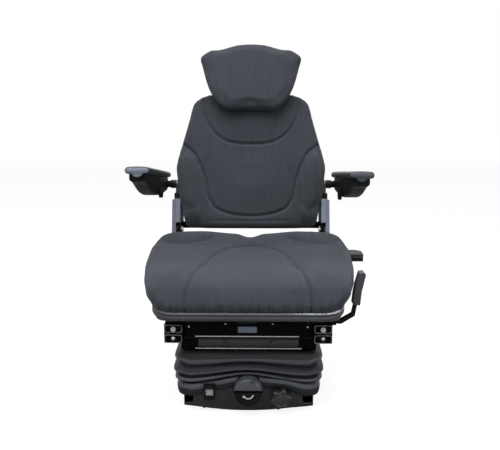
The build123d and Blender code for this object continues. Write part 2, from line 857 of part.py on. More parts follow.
def hex_bolts(places, facing, across_flats, head):
    """Bolt heads with their washers on a plane that faces the front, at (X, Z) places."""
    with BuildPart() as bolts:
        with BuildSketch(across(facing)):
            with Locations(*places):
                Circle(across_flats * 0.62)
        extrude(amount=1.2)
        with BuildSketch(across(facing - 1.2)):
            with Locations(*places):
                RegularPolygon(across_flats / 2, 6, major_radius=False)
        extrude(amount=head)
    return bolts


# Seat frame: a pressed tray on the upper rails, with a front apron and rear ears for the recliner
apron_front = -195.0
apron_half = rail_x - rail_width / 2 - 3.0
apron_low = frame_top + 5.5
ear_front = 196.0
ear_back = 313.0
plate_x = recliner_inner_x + recliner_sheet + 1.0
with BuildPart() as seat_frame:
    with BuildSketch(level(rail_top)):
        with Locations((0, apron_front)):
            Rectangle(2 * (rail_x + rail_width / 2), 215 - apron_front, align=(Align.CENTER, Align.MIN))
        with Locations((0, ear_front)):
            Rectangle(2 * plate_x, ear_back - ear_front, align=(Align.CENTER, Align.MIN))
        with Locations((0, 10)):
            RectangleRounded(250, 240, 30, mode=Mode.SUBTRACT)
        with Locations((0, 256)):
            RectangleRounded(300, 60, 20, mode=Mode.SUBTRACT)
    extrude(amount=frame_sheet)
    with BuildSketch(across(apron_front + frame_sheet)):
        with Locations((0, rail_top + frame_sheet)):
            Rectangle(
                2 * apron_half, rail_top + frame_sheet - apron_low, align=(Align.CENTER, Align.MAX)
            )
    extrude(amount=frame_sheet)
    with BuildSketch(across(215)):
        with Locations((0, rail_top + frame_sheet)):
            Rectangle(2 * apron_half, 34, align=(Align.CENTER, Align.MAX))
    extrude(amount=frame_sheet)
seat_frame.part.label = "seat_frame"
export_step(seat_frame.part, "parts/seat_frame.step")

# Blank plate on the apron
with BuildPart() as blank_plate:
    with BuildSketch(across(apron_front)):
        with Locations((-2, 205)):
            RectangleRounded(45, 15, 2)
    extrude(amount=0.8)
blank_plate.part.label = "blank_plate"
export_step(blank_plate.part, "parts/blank_plate.step")

upper_bolt_z = upper_rail_base + upper_rail_height / 2
cap_bolts = hex_bolts(((-rail_x, upper_bolt_z), (rail_x, upper_bolt_z)), -half_rail, 10, 4)
apron_bolts = hex_bolts(((-54, 230), (58, 230), (-141, 222), (141, 222)), apron_front, 6, 2)
with BuildPart() as seat_frame_bolts:
    add(cap_bolts.part)
    add(apron_bolts.part)
seat_frame_bolts.part.label = "seat_frame_bolts"
export_step(seat_frame_bolts.part, "parts/seat_frame_bolts.step")


def pan_solid(inset, lower, upper):
    """The pan's outer or inner form: a round-cornered plan cut to the pan's side profile."""
    floor = pan_floor + lower
    rim = pan_floor + pan_rim + upper
    front_rim = pan_floor + pan_front_rim + upper
    front = pan_front + inset
    back = pan_back - inset
    with BuildPart() as form:
        with BuildSketch(level(floor)):
            with Locations((0, front)):
                RectangleRounded(
                    2 * (pan_half_width - inset),
                    back - front,
                    pan_corner - inset,
                    align=(Align.CENTER, Align.MIN),
                )
        extrude(amount=pan_rim + upper - lower)
        fillet(form.faces().sort_by(Axis.Z)[0].edges(), pan_bottom_round - inset)
        with BuildSketch(sideways(-pan_half_width)):
            with BuildLine():
                Polyline(
                    (front, floor + pan_lip_drop),
                    (front + 44, floor),
                    (back, floor),
                    (back, rim),
                    (front + 60, rim),
                    (front, front_rim),
                    close=True,
                )
            make_face()
        extrude(amount=2 * pan_half_width, mode=Mode.INTERSECT)
    return form.part


pan_outside = pan_solid(0, 0, 0)
pan_inside = pan_solid(pan_sheet, pan_sheet, 1.0)
with BuildPart() as seat_pan:
    add(pan_outside)
    add(pan_inside, mode=Mode.SUBTRACT)
    with BuildSketch(level(pan_floor)):
        with GridLocations(120, 90, 3, 3):
            SlotOverall(50, 12)
    extrude(amount=pan_sheet, mode=Mode.SUBTRACT)
seat_pan.part.label = "seat_pan"
export_step(seat_pan.part, "parts/seat_pan.step")

# Seat cushion: a plug in the pan and a crowned body that hangs over its rim
cushion_plug = pan_solid(pan_sheet + soft_gap, pan_sheet + soft_gap, soft_gap + 1.0)
rim_z = pan_floor + pan_rim + soft_gap
front_rim_z = pan_floor + pan_front_rim + soft_gap
cushion_sections = (
    (front_rim_z, 240.0),
    (front_rim_z + 34, cushion_half_width),
    (cushion_top - 26, cushion_half_width),
    (cushion_top + 10, 232.0),
)
# Seams of the cover, as points on the cushion: the middle panel's arch from its crown to the front lip,
# and the short one across each rear corner
arch_seam = (
    (0, 120, 355), (58, 108, 352), (97, 60, 343), (121, -60, 338), (133, -190, 345), (138, -238, 330),
    (140, -263, 292),
)
corner_seam = ((114, 152, 364), (160, 135, 359), (198, 115, 362), (238, 95, 376))
seam_round = 10.0
seam_depth = 5.0
# The crown seen from the side, as (Y, Z) points: along the middle, and along the fuller sides
crown_middle = (
    (-238, 330), (-190, 345), (-60, 338), (60, 343), (130, 357), (183, 379), (cushion_back, 364),
)
crown_side = (
    (-238, 329), (-190, 338), (-80, 350), (0, 368), (100, 383), (170, 388), (cushion_back, 370),
)
crown_flat = 165.0


def crown_profile(top):
    """The cushion's side view under one of the crown lines."""
    with BuildSketch() as face:
        with BuildLine():
            Polyline(
                top[0], (cushion_front, front_rim_z + 12), (cushion_front, front_rim_z),
                (pan_front + 60, rim_z), (cushion_back, rim_z), top[-1],
            )
            Spline(*reversed(top))
        make_face()
    return face.sketch


with BuildPart() as cushion_crown:
    edge_x = cushion_half_width + 6
    for x, top in (
        (-edge_x, crown_side), (-crown_flat, crown_middle), (crown_flat, crown_middle), (edge_x, crown_side),
    ):
        with BuildSketch(sideways(x)):
            add(crown_profile(top))
    loft(ruled=True)

with BuildPart() as seat_cushion:
    for z, half in cushion_sections:
        grow = half - cushion_half_width
        with BuildSketch(level(z)):
            with Locations((0, cushion_front - grow * 0.4)):
                RectangleRounded(
                    2 * half,
                    cushion_back - cushion_front + grow * 0.8,
                    70,
                    align=(Align.CENTER, Align.MIN),
                )
    loft()
    add(cushion_crown.part, mode=Mode.INTERSECT)
    add(cushion_plug)
    for seam in (arch_seam, corner_seam):
        for side, name in SIDES:
            with BuildLine():
                path = Spline(*[(side * x, y, z + seam_round - seam_depth) for x, y, z in seam])
            with BuildSketch(Plane(origin=path @ 0, z_dir=path % 0)):
                Circle(seam_round)
            sweep(path=path, mode=Mode.SUBTRACT)
    with BuildSketch(across(cushion_back + 1)):
        with Locations((0, cushion_top + notch_round - notch_depth)):
            Circle(notch_round)
    extrude(amount=cushion_back - 120, mode=Mode.SUBTRACT)
seat_cushion.part.label = "seat_cushion"
export_step(seat_cushion.part, "parts/seat_cushion.step")

# Fore-aft lever on the pin of the right rail, and its grip
with BuildPart() as slide_lever:
    with BuildSketch(across(lever_y + 9)):
        with BuildLine():
            Polyline(
                (201, 218), (226, 218), (258, 238), (264, 272), (266, 300), (260, 300), (257, 273),
                (251, 242), (224, 226), (201, 230), close=True,
            )
        make_face()
        with Locations((lever_pivot_x, lever_pivot_z)):
            Circle(3 + pivot_gap, mode=Mode.SUBTRACT)
    extrude(amount=18)
slide_lever.part.label = "slide_lever"
export_step(slide_lever.part, "parts/slide_lever.step")

with BuildPart() as slide_grip:
    with BuildSketch(across(lever_y + 15)):
        with BuildLine():
            Polyline(
                (252, 268), (269, 266), (272, 300), (281, 342), (277, 347), (266, 345), (258, 316),
                (254, 290), close=True,
            )
        make_face()
    extrude(amount=30)
    add(slide_lever.part, mode=Mode.SUBTRACT)
    fillet(slide_grip.edges().filter_by(Axis.Y).group_by(Axis.Z)[-1], 2)
    with BuildSketch(sideways(300)):
        with Locations((lever_y, 322)):
            with GridLocations(9, 8, 3, 4):
                Rectangle(6, 4)
    extrude(amount=-25.5, mode=Mode.SUBTRACT)
slide_grip.part.label = "slide_grip"
export_step(slide_grip.part, "parts/slide_grip.step")

# Recliner: a seat plate and a back plate a side, the bolt they turn on, and the shaft below it
shaft_y = 262.0
shaft_z = 318.0
shaft_dia = 10.0
for side, name in SIDES:
    with BuildPart() as seat_plate:
        with BuildSketch(sideways(side * plate_x)):
            with BuildLine():
                Polyline(
                    (ear_front, rail_top),
                    (ear_back, rail_top),
                    (ear_back, recline_z),
                )
                ThreePointArc(
                    (ear_back, recline_z),
                    (recline_y, recline_z + recliner_radius),
                    (recline_y - recliner_radius, recline_z),
                )
                Polyline(
                    (recline_y - recliner_radius, recline_z),
                    (recline_y - recliner_radius - 18, 300),
                    (ear_front, rail_top + 24),
                    (ear_front, rail_top),
                )
            make_face()
            with Locations((recline_y, recline_z)):
                Circle(recliner_bolt_dia / 2, mode=Mode.SUBTRACT)
            with Locations((shaft_y, shaft_z)):
                Circle(shaft_dia / 2 + pivot_gap, mode=Mode.SUBTRACT)
        extrude(amount=side * recliner_sheet)
    seat_plate.part.label = f"recliner_seat_plate_{name}"
    export_step(seat_plate.part, f"parts/recliner_seat_plate_{name}.step")

with BuildPart() as recliner_bolts:
    for side, name in SIDES:
        with BuildSketch(sideways(side * (recliner_inner_x - 4))):
            with Locations((recline_y, recline_z)):
                Circle(recliner_bolt_dia / 2)
        extrude(amount=side * (plate_x + recliner_sheet + 1 - recliner_inner_x + 4))
        with BuildSketch(sideways(side * (plate_x + recliner_sheet))):
            with Locations((recline_y, recline_z)):
                RegularPolygon(11, 6, major_radius=False)
        extrude(amount=side * 5)
        with BuildSketch(sideways(side * (recliner_inner_x - 0.2))):
            with Locations((recline_y, recline_z)):
                Circle(12)
        extrude(amount=-side * 4)
recliner_bolts.part.label = "recliner_bolts"
export_step(recliner_bolts.part, "parts/recliner_bolts.step")

# Recline shaft, and the paddle on its right end that reaches forward past the cushion
with BuildPart() as recline_shaft:
    with BuildSketch(sideways(-plate_x - recliner_sheet - 3)):
        with Locations((shaft_y, shaft_z)):
            Circle(shaft_dia / 2)
    extrude(amount=2 * (plate_x + recliner_sheet) + 11)
recline_shaft.part.label = "recline_shaft"
export_step(recline_shaft.part, "parts/recline_shaft.step")

lever_inner = plate_x + recliner_sheet + 0.5
with BuildPart() as recline_paddle:
    with BuildSketch(sideways(lever_inner)):
        with BuildLine():
            Polyline(
                (shaft_y + 12, shaft_z - 4), (shaft_y + 10, shaft_z + 11), (shaft_y - 8, shaft_z + 12),
                (150, 336), (112, 345), (50, 345), (36, 338), (36, 330), (52, 324), (112, 322),
                (180, 314), (shaft_y - 6, shaft_z - 11), close=True,
            )
        make_face()
    extrude(amount=86)
    with BuildSketch(level(300)):
        with BuildLine():
            Polyline(
                (lever_inner, 276), (lever_inner, 240), (262, 196), (262, 120), (272, 96), (274, 36),
                (306, 36), (314, 50), (316, 96), (300, 112), (271, 140), (271, 198),
                (lever_inner + 10, 246), (lever_inner + 10, 276), close=True,
            )
        make_face()
    extrude(amount=60, mode=Mode.INTERSECT)
    with BuildSketch(sideways(lever_inner)):
        with Locations((shaft_y, shaft_z)):
            Circle(shaft_dia / 2)
    extrude(amount=7.6, mode=Mode.SUBTRACT)
recline_paddle.part.label = "recline_paddle"
export_step(recline_paddle.part, "parts/recline_paddle.step")

# The recline axis in the back's own directions
lean = radians(back_angle)
pivot_out = -(recline_y - back_origin_y) * cos(lean) + (recline_z - back_origin_z) * sin(lean)
pivot_up = (recline_y - back_origin_y) * sin(lean) + (recline_z - back_origin_z) * cos(lean)
holder_low = 90.0
holder_high = 110.0

for side, name in SIDES:
    # Back plate: turns on the recliner bolt and carries the back frame and the armrest
    with BuildPart() as back_plate:
        with BuildSketch(back_side(side * recliner_inner_x)):
            with BuildLine():
                Polyline(
                    (-pivot_out - 26, pivot_up),
                    (-pivot_out - 24, 60),
                    (-pivot_out - 20, holder_low),
                    (26, holder_low),
                    (30, 12),
                    (20, -10),
                )
                Line((20, -10), (-pivot_out + 6, pivot_up - 25))
                ThreePointArc(
                    (-pivot_out + 6, pivot_up - 25),
                    (-pivot_out - 18, pivot_up - 18.5),
                    (-pivot_out - 26, pivot_up),
                )
            make_face()
            with Locations((-pivot_out, pivot_up)):
                Circle(recliner_bolt_dia / 2 + pivot_gap, mode=Mode.SUBTRACT)
        extrude(amount=side * recliner_sheet)
    back_plate.part.label = f"back_plate_{name}"
    export_step(back_plate.part, f"parts/back_plate_{name}.step")

    # Recliner cover: a bowed cap outside the plates, with a front wall above the seat plate
    with BuildPart() as recliner_cover:
        cover_inner = plate_x + recliner_sheet + 0.6
        with BuildSketch(back_side(side * cover_inner)):
            with BuildLine():
                Polyline((-55, -12), (-55, 84), (22, 84), (24, -12))
                ThreePointArc((24, -12), (-16, -42), (-55, -12))
            make_face()
        extrude(amount=side * (cover_outer_x - cover_inner), taper=14)
        with BuildSketch(back_side(side * cover_inner)):
            with BuildLine():
                Polyline((-51, -10), (-51, 80), (18, 80), (20, -10))
                ThreePointArc((20, -10), (-16, -37), (-51, -10))
            make_face()
        extrude(amount=side * (cover_outer_x - cover_inner - 3), taper=14, mode=Mode.SUBTRACT)
        with BuildSketch(back_side(side * (recliner_inner_x - 0.5))):
            with Locations((-53, 50)):
                Rectangle(4, 68)
        extrude(amount=side * (cover_inner - recliner_inner_x + 3))
    recliner_cover.part.label = f"recliner_cover_{name}"
    export_step(recliner_cover.part, f"parts/recliner_cover_{name}.step")

# Back frame: a tube hoop on a cross tube, with two sleeves for the extension's rods
sleeve_top = 372.0
with BuildPart() as back_frame:
    with BuildSketch(back_side(-recliner_inner_x)):
        with Locations((-hoop_depth, 12)):
            Circle(hoop_dia / 2)
    extrude(amount=2 * recliner_inner_x)
    with BuildLine(back_plane(hoop_depth)):
        hoop = FilletPolyline(
            (-hoop_x, 12), (-hoop_x, 330), (hoop_x, 330), (hoop_x, 12), radius=55
        )
    with BuildSketch(Plane(origin=hoop @ 0, z_dir=hoop % 0)):
        Circle(hoop_dia / 2)
    sweep(path=hoop)
    for x in (-rod_x, rod_x):
        with BuildSketch(Plane(origin=back_plane(hoop_depth).from_local_coords(Vector(x, 235, 0)),
                               z_dir=back_plane(0).y_dir)):
            Circle(rod_dia / 2 + 3)
        extrude(amount=sleeve_top - 235)
        with BuildSketch(Plane(origin=back_plane(hoop_depth).from_local_coords(Vector(x, 235, 0)),
                               z_dir=back_plane(0).y_dir)):
            Circle(rod_dia / 2 + pivot_gap)
        extrude(amount=sleeve_top - 235, mode=Mode.SUBTRACT)
    with BuildSketch(back_plane(hoop_depth - hoop_dia / 2)):
        with Locations((0, 245)):
            Rectangle(2 * hoop_x, 20)
    extrude(amount=4)
back_frame.part.label = "back_frame"
export_step(back_frame.part, "parts/back_frame.step")

# The back's outline: half its width at each height up the back
back_outline = (
    (2, 203), (45, 210), (135, 222), (190, 228), (245, 214), (318, 193), (377, 179), (396, 160), (404, 130),
)


def back_face(shrink):
    """The back's outline as a face, drawn in by shrink."""
    drop = [shrink * max(0, (up - 245) / 159) for up, half in back_outline]
    right = [(half - shrink, up - down) for (up, half), down in zip(back_outline, drop)]
    with BuildSketch() as face:
        with BuildLine():
            Spline(*right[1:4])
            Spline(*right[3:7])
            Spline(*right[6:])
            Polyline(right[1], (right[0][0], right[0][1] + shrink), (0, right[0][1] + shrink))
            Line(right[-1], (0, right[-1][1]))
            mirror(about=Plane.YZ)
        make_face()
    return face.sketch


# The bolsters' outline, and the seams as (X, up) points: the middle panel's U and the yoke across it
bolster_outline = ((162, 62), (196, 60), (207, 120), (212, 185), (196, 238), (168, 196), (158, 130))
bolster_rise = 13.0
panel_seam = (
    (-209, 258), (-176, 231), (-151, 178), (-141, 140), (-132, 99), (-98, 55), (-50, 41),
    (50, 41), (98, 55), (132, 99), (141, 140), (151, 178), (176, 231), (209, 258),
)
yoke_seam = (
    (-147, 400), (-141, 345), (-115, 298), (-80, 272), (0, 261),
    (80, 272), (115, 298), (141, 345), (147, 400),
)


def bolster_face(side, shrink):
    """One bolster's outline as a face, drawn in by shrink towards its middle."""
    middle, half_height = 186.0, 90.0
    points = [
        (side * (x + (middle - x) * shrink / 28), up + (150 - up) * shrink / half_height)
        for x, up in bolster_outline
    ]
    with BuildSketch() as face:
        with BuildLine():
            Spline(*points, points[0], periodic=False)
        make_face()
    return face.sketch


with BuildPart() as back_cushion:
    with BuildSketch(back_plane(0)):
        add(back_face(0))
    extrude(amount=back_depth)
    fillet(back_cushion.faces().sort_by(Axis.Y)[0].edges().filter_by(Plane.XY, reverse=True), 16)
    for side, name in SIDES:
        for depth, shrink in (
            (back_depth - 18, 0), (back_depth + 0.6 * bolster_rise, 6), (back_depth + bolster_rise, 16)
        ):
            with BuildSketch(back_plane(depth)):
                add(bolster_face(side, shrink))
        loft()
    for seam in (panel_seam, yoke_seam):
        with BuildLine(back_plane(back_depth + seam_round - seam_depth)):
            path = Spline(*seam)
        with BuildSketch(Plane(origin=path @ 0, z_dir=path % 0)):
            Circle(seam_round)
        sweep(path=path, mode=Mode.SUBTRACT)
back_cushion.part.label = "back_cushion"
export_step(back_cushion.part, "parts/back_cushion.step")

# Back shell: a drawn cover over the frame, open to the front
with BuildPart() as back_shell:
    for depth, shrink in ((-soft_gap, 8), (-shell_depth, 24)):
        with BuildSketch(back_plane(depth)):
            add(back_face(shrink))
    loft()
    for depth, shrink in ((-soft_gap, 8 + shell_wall), (shell_wall - shell_depth, 24 + shell_wall)):
        with BuildSketch(back_plane(depth)):
            add(back_face(shrink))
    loft(mode=Mode.SUBTRACT)
    with BuildSketch(back_plane(1)):
        Rectangle(2 * pan_half_width, 66)
    extrude(amount=-shell_depth - 2, mode=Mode.SUBTRACT)
    for x in (-rod_x, rod_x):
        with BuildSketch(Plane(origin=back_plane(hoop_depth).from_local_coords(Vector(x, 380, 0)),
                               z_dir=back_plane(0).y_dir)):
            Circle(rod_dia / 2 + 4)
        extrude(amount=40, mode=Mode.SUBTRACT)
back_shell.part.label = "back_shell"
export_step(back_shell.part, "parts/back_shell.step")

# Backrest extension: a fan-shaped pad on a shell that two rods carry
fan_low = 360.0
fan_high = 566.0


def fan_face(shrink):
    """The extension's outline as a face, drawn in by shrink."""
    with BuildSketch() as face:
        with BuildLine():
            Line((0, fan_low + shrink), (66 - shrink * 0.5, fan_low + shrink))
            Spline(
                (66 - shrink * 0.5, fan_low + shrink),
                (98 - shrink * 0.8, 378 + shrink * 0.6),
                (121 - shrink, 409),
                (141 - shrink, 462),
                (151 - shrink, 500),
                (158 - shrink, 520 - shrink),
            )
            Spline(
                (158 - shrink, 520 - shrink),
                (140 - shrink, 533 - shrink),
                (100, 548 - shrink),
                (50, 561 - shrink),
                (0, fan_high - shrink),
            )
            mirror(about=Plane.YZ)
        make_face()
    return face.sketch


with BuildPart() as extension_pad:
    with BuildSketch(back_plane(extension_back + 6)):
        add(fan_face(0))
    extrude(amount=extension_front - extension_back - 6)
    fillet(extension_pad.faces().sort_by(Axis.Y)[0].edges(), 10)
extension_pad.part.label = "extension_pad"
export_step(extension_pad.part, "parts/extension_pad.step")

block_low = 492.0
with BuildPart() as extension_shell:
    with BuildSketch(back_plane(extension_back)):
        add(fan_face(3))
    extrude(amount=6 - soft_gap)
    for depth, shrink in ((extension_back + 1, 0), (hoop_depth - 14, 12)):
        with BuildSketch(back_plane(depth)):
            with BuildLine():
                Polyline(
                    (shrink - 140, 522 - shrink),
                    (shrink - 128, block_low),
                    (128 - shrink, block_low),
                    (140 - shrink, 522 - shrink),
                )
                ThreePointArc(
                    (140 - shrink, 522 - shrink),
                    (0, fan_high - 14 - shrink),
                    (shrink - 140, 522 - shrink),
                )
            make_face()
    loft()
    with BuildSketch(back_plane(extension_back)):
        with Locations((0, block_low + 7)):
            Rectangle(190, 22, align=(Align.CENTER, Align.MIN))
    extrude(amount=-(extension_back - hoop_depth - 16), mode=Mode.SUBTRACT)
    for x in (-rod_x, rod_x):
        with BuildSketch(Plane(origin=back_plane(hoop_depth).from_local_coords(Vector(x, 480, 0)),
                               z_dir=back_plane(0).y_dir)):
            Circle(rod_dia / 2)
        extrude(amount=36, mode=Mode.SUBTRACT)
extension_shell.part.label = "extension_shell"
export_step(extension_shell.part, "parts/extension_shell.step")

with BuildPart() as extension_rods:
    for x in (-rod_x, rod_x):
        with BuildSketch(Plane(origin=back_plane(hoop_depth).from_local_coords(Vector(x, 260, 0)),
                               z_dir=back_plane(0).y_dir)):
            Circle(rod_dia / 2)
        extrude(amount=256)
extension_rods.part.label = "extension_rods"
export_step(extension_rods.part, "parts/extension_rods.step")

boss_inner = 226.0
pad_lobe = 10.0
pad_lobe_round = 13.0
pad_lobe_half = 16.0
pad_overhang = 14.0
shell_length = armrest_length - pad_overhang
shell_top = armrest_pad_low - soft_gap
shell_round = armrest_length * 0.026
for side, name in SIDES:
    # Armrest holder: a moulded block on the back plate, and the steel stem with its pivot boss
    with BuildPart() as armrest_holder:
        with BuildSketch(back_side(side * recliner_inner_x)):
            with Locations((-28, holder_low)):
                Rectangle(38, holder_high - holder_low, align=(Align.CENTER, Align.MIN))
        extrude(amount=side * 20)
        fillet(armrest_holder.edges().filter_by(Axis.X), 4)
    armrest_holder.part.label = f"armrest_holder_{name}"
    export_step(armrest_holder.part, f"parts/armrest_holder_{name}.step")

    with BuildPart() as armrest_stem:
        with BuildSketch(back_side(side * boss_inner)):
            with Locations((-armrest_pivot_out, holder_high)):
                Rectangle(
                    20, armrest_pivot_up - holder_high, align=(Align.CENTER, Align.MIN)
                )
            with Locations((-armrest_pivot_out, armrest_pivot_up)):
                Circle(armrest_boss_dia / 2)
        extrude(amount=side * 10)
        with BuildSketch(back_side(side * (boss_inner + 10))):
            with Locations((-armrest_pivot_out, armrest_pivot_up)):
                Circle(8)
        extrude(amount=side * 38)
    armrest_stem.part.label = f"armrest_stem_{name}"
    export_step(armrest_stem.part, f"parts/armrest_stem_{name}.step")

    # Armrest shell: deep at the pivot, thin at the front, with a sleeve round the boss
    half_pad = armrest_pad_width / 2
    with BuildPart() as armrest_shell:
        with BuildSketch(arm_side(side, name, armrest_x)):
            with BuildLine():
                Polyline((-16, shell_top), (shell_length, shell_top), (shell_length, 1))
                Spline(
                    (shell_length, 1), (shell_length * 0.87, -9), (shell_length * 0.755, -22),
                    (shell_length * 0.574, -33), (shell_length * 0.363, -34),
                    (shell_length * 0.121, -27), (0, -22),
                )
                ThreePointArc((0, -22), (-21, -3), (-16, shell_top))
            make_face()
        extrude(amount=23, both=True)
        with BuildSketch(arm_side(side, name, armrest_x - 23)):
            Circle(10.4)
        extrude(amount=side * 12)
        with BuildSketch(arm_side(side, name, armrest_x - 34.5)):
            Circle(armrest_boss_dia / 2)
        extrude(amount=side * (armrest_x - 34.5 - boss_inner - 10.6))
        with BuildSketch(arm_side(side, name, boss_inner)):
            Circle(8 + pivot_gap)
        extrude(amount=-side * 49, mode=Mode.SUBTRACT)
        fillet(
            armrest_shell.edges().filter_by(GeomType.BSPLINE), shell_round
        )
    armrest_shell.part.label = f"armrest_shell_{name}"
    export_step(armrest_shell.part, f"parts/armrest_shell_{name}.step")

    # Armrest pad: a padded block with rolled edges
    with BuildPart() as armrest_pad:
        with BuildSketch(arm_side(side, name, armrest_x)):
            with Locations((armrest_length / 2 - 8, armrest_pad_low)):
                Rectangle(
                    armrest_length + 16, armrest_pad_thick, align=(Align.CENTER, Align.MIN)
                )
        extrude(amount=half_pad, both=True)
        fillet(armrest_pad.edges(), 7)
        arm_plane = arm_side(side, name, armrest_x)
        front_plane = Plane(
            origin=arm_plane.from_local_coords(Vector(armrest_length - 3, armrest_pad_low, 0)),
            x_dir=(1, 0, 0),
            z_dir=arm_plane.x_dir,
        )
        with BuildSketch(front_plane):
            with Locations((0, pad_lobe_round - pad_lobe)):
                Ellipse(pad_lobe_half, pad_lobe_round)
            with Locations((0, pad_lobe / 2)):
                Rectangle(2 * half_pad - 18, pad_lobe)
        extrude(amount=-(pad_overhang - 4))
    armrest_pad.part.label = f"armrest_pad_{name}"
    export_step(armrest_pad.part, f"parts/armrest_pad_{name}.step")

    # Tilt knob: a knurled wheel on the inner side of the shell
    with BuildPart() as tilt_knob:
        knob_face = armrest_x - 23 - 0.3
        with BuildSketch(arm_side(side, name, knob_face)):
            with Locations((150, -26)):
                Circle(tilt_knob_dia / 2)
                with PolarLocations(tilt_knob_dia / 2, 12):
                    Circle(1.6, mode=Mode.SUBTRACT)
        extrude(amount=side * tilt_knob_width)
    tilt_knob.part.label = f"tilt_knob_{name}"
    export_step(tilt_knob.part, f"parts/tilt_knob_{name}.step")
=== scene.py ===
"""Looks of a sprung operator seat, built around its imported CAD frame."""

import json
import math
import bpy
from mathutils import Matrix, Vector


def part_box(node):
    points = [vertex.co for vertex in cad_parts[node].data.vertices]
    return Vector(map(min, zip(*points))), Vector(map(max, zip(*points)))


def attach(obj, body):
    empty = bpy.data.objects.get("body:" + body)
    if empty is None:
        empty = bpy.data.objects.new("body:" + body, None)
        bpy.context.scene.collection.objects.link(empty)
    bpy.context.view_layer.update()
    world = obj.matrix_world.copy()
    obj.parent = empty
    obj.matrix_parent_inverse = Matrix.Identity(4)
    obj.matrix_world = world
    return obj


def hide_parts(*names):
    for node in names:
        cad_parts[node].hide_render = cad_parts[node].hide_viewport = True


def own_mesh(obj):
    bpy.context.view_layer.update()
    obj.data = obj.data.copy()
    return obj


bl_info = {
    "name": "Operator seat",
    "version": (1, 0, 0),
    "blender": (4, 5, 0),
    "location": "3D View > Sidebar > Seat",
    "description": "Covers, bellows and finishes for a sprung operator seat",
    "category": "Object",
}

import bpy
import numpy as np
from mathutils import Euler, Vector

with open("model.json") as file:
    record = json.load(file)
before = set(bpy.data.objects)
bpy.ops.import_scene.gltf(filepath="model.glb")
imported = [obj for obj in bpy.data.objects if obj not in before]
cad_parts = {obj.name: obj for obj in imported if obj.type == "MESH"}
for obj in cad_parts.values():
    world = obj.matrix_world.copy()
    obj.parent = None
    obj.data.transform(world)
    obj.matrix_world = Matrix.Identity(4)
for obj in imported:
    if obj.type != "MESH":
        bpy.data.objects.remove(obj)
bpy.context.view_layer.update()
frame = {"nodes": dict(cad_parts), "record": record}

TURN = 2 * math.pi

# The back's own directions: up along its lean, and out in front of it
LEAN = math.radians(11)
BACK_ORIGIN = np.array((0.0, 0.3046, 0.3737))
BACK_UP = np.array((0.0, math.sin(LEAN), math.cos(LEAN)))
BACK_OUT = np.array((0.0, -math.cos(LEAN), math.sin(LEAN)))


# Mesh helpers


def activate(obj):
    bpy.ops.object.select_all(action="DESELECT")
    obj.select_set(True)
    bpy.context.view_layer.objects.active = obj


def primitive(kind, name, location=(0, 0, 0), **sizes):
    """A new mesh object made from one of Blender's own primitives."""
    bpy.ops.object.select_all(action="DESELECT")
    getattr(bpy.ops.mesh, f"primitive_{kind}_add")(location=location, **sizes)
    obj = bpy.context.object
    obj.name = name
    return obj


def add_modifier(obj, name, kind, **values):
    modifier = obj.modifiers.new(name, kind)
    for label, value in values.items():
        setattr(modifier, label, value)
    return modifier


def apply_modifiers(obj):
    activate(obj)
    for modifier in list(obj.modifiers):
        bpy.ops.object.modifier_apply(modifier=modifier.name)


def places(obj):
    co = np.empty(len(obj.data.vertices) * 3)
    obj.data.vertices.foreach_get("co", co)
    return co.reshape(-1, 3)


def directions(obj):
    normal = np.empty(len(obj.data.vertices) * 3)
    obj.data.vertices.foreach_get("normal", normal)
    return normal.reshape(-1, 3)


def put(obj, co):
    obj.data.vertices.foreach_set("co", np.ascontiguousarray(co).ravel())
    obj.data.update()


def columns(*values):
    return np.stack(values, axis=1)


def ease(value, low, high):
    """0 below low, 1 above high, and a smooth step between."""
    t = np.clip((value - low) / (high - low), 0, 1)
    return t * t * (3 - 2 * t)


def bell(value, middle, width):
    return np.exp(-(((value - middle) / width) ** 2))


def smooth_line(points, step=0.003):
    """A Catmull-Rom line through the points, sampled every few millimetres."""
    p = np.array(points, float)
    p = np.vstack([2 * p[0] - p[1], p, 2 * p[-1] - p[-2]])
    line = []
    for a, b, c, d in zip(p[:-3], p[1:-2], p[2:-1], p[3:]):
        count = max(2, int(np.linalg.norm(c - b) / step))
        for t in np.linspace(0, 1, count, endpoint=False):
            line.append(
                0.5 * (2 * b + (c - a) * t + (2 * a - 5 * b + 4 * c - d) * t * t
                       + (3 * b - a - 3 * c + d) * t ** 3)
            )
    line.append(p[-2])
    return np.array(line)


def line_distance(points, line):
    """Each point's distance to the line, and how far along the line its nearest point is."""
    best = np.full(len(points), 1e9)
    along = np.zeros(len(points))
    start = 0.0
    for a, b in zip(line[:-1], line[1:]):
        edge = b - a
        length = np.linalg.norm(edge)
        if length < 1e-9:
            continue
        t = np.clip((points - a) @ edge / length ** 2, 0, 1)
        gap = np.linalg.norm(points - a - t[:, None] * edge, axis=1)
        nearer = gap < best
        best[nearer] = gap[nearer]
        along[nearer] = start + t[nearer] * length
        start += length
    return best, along


def mirrored(half):
    """A line given for one half, from the middle outwards, made whole."""
    return [(-x, y) for x, y in reversed(half[1:])] + list(half)


def soft_blank(node, name, voxel, smoothing):
    """A copy of a soft CAD solid as an even, rounded mesh, ready to be filled."""
    obj = node_copy(node, name)
    obj.data.materials.clear()
    activate(obj)
    bpy.ops.object.mode_set(mode="EDIT")
    bpy.ops.mesh.select_all(action="SELECT")
    bpy.ops.mesh.remove_doubles(threshold=0.00005)
    bpy.ops.mesh.customdata_custom_splitnormals_clear()
    bpy.ops.object.mode_set(mode="OBJECT")
    add_modifier(obj, "Even", "REMESH", mode="VOXEL", voxel_size=voxel)
    add_modifier(obj, "Round", "SMOOTH", factor=0.5, iterations=smoothing)
    apply_modifiers(obj)
    bpy.ops.object.shade_smooth()
    return obj


# How the covers are filled: cloth frames, rounds of evening, the most that a point may move, and how far
# from a seam the cover is held
CLOTH_FRAMES = 20
EVENING_ROUNDS = 14
SWELL_CAP = 0.006
SEAM_HOLD = 0.005
FOAM_PRESSURE = 4.0
EXTENSION_PRESSURE = 3.0
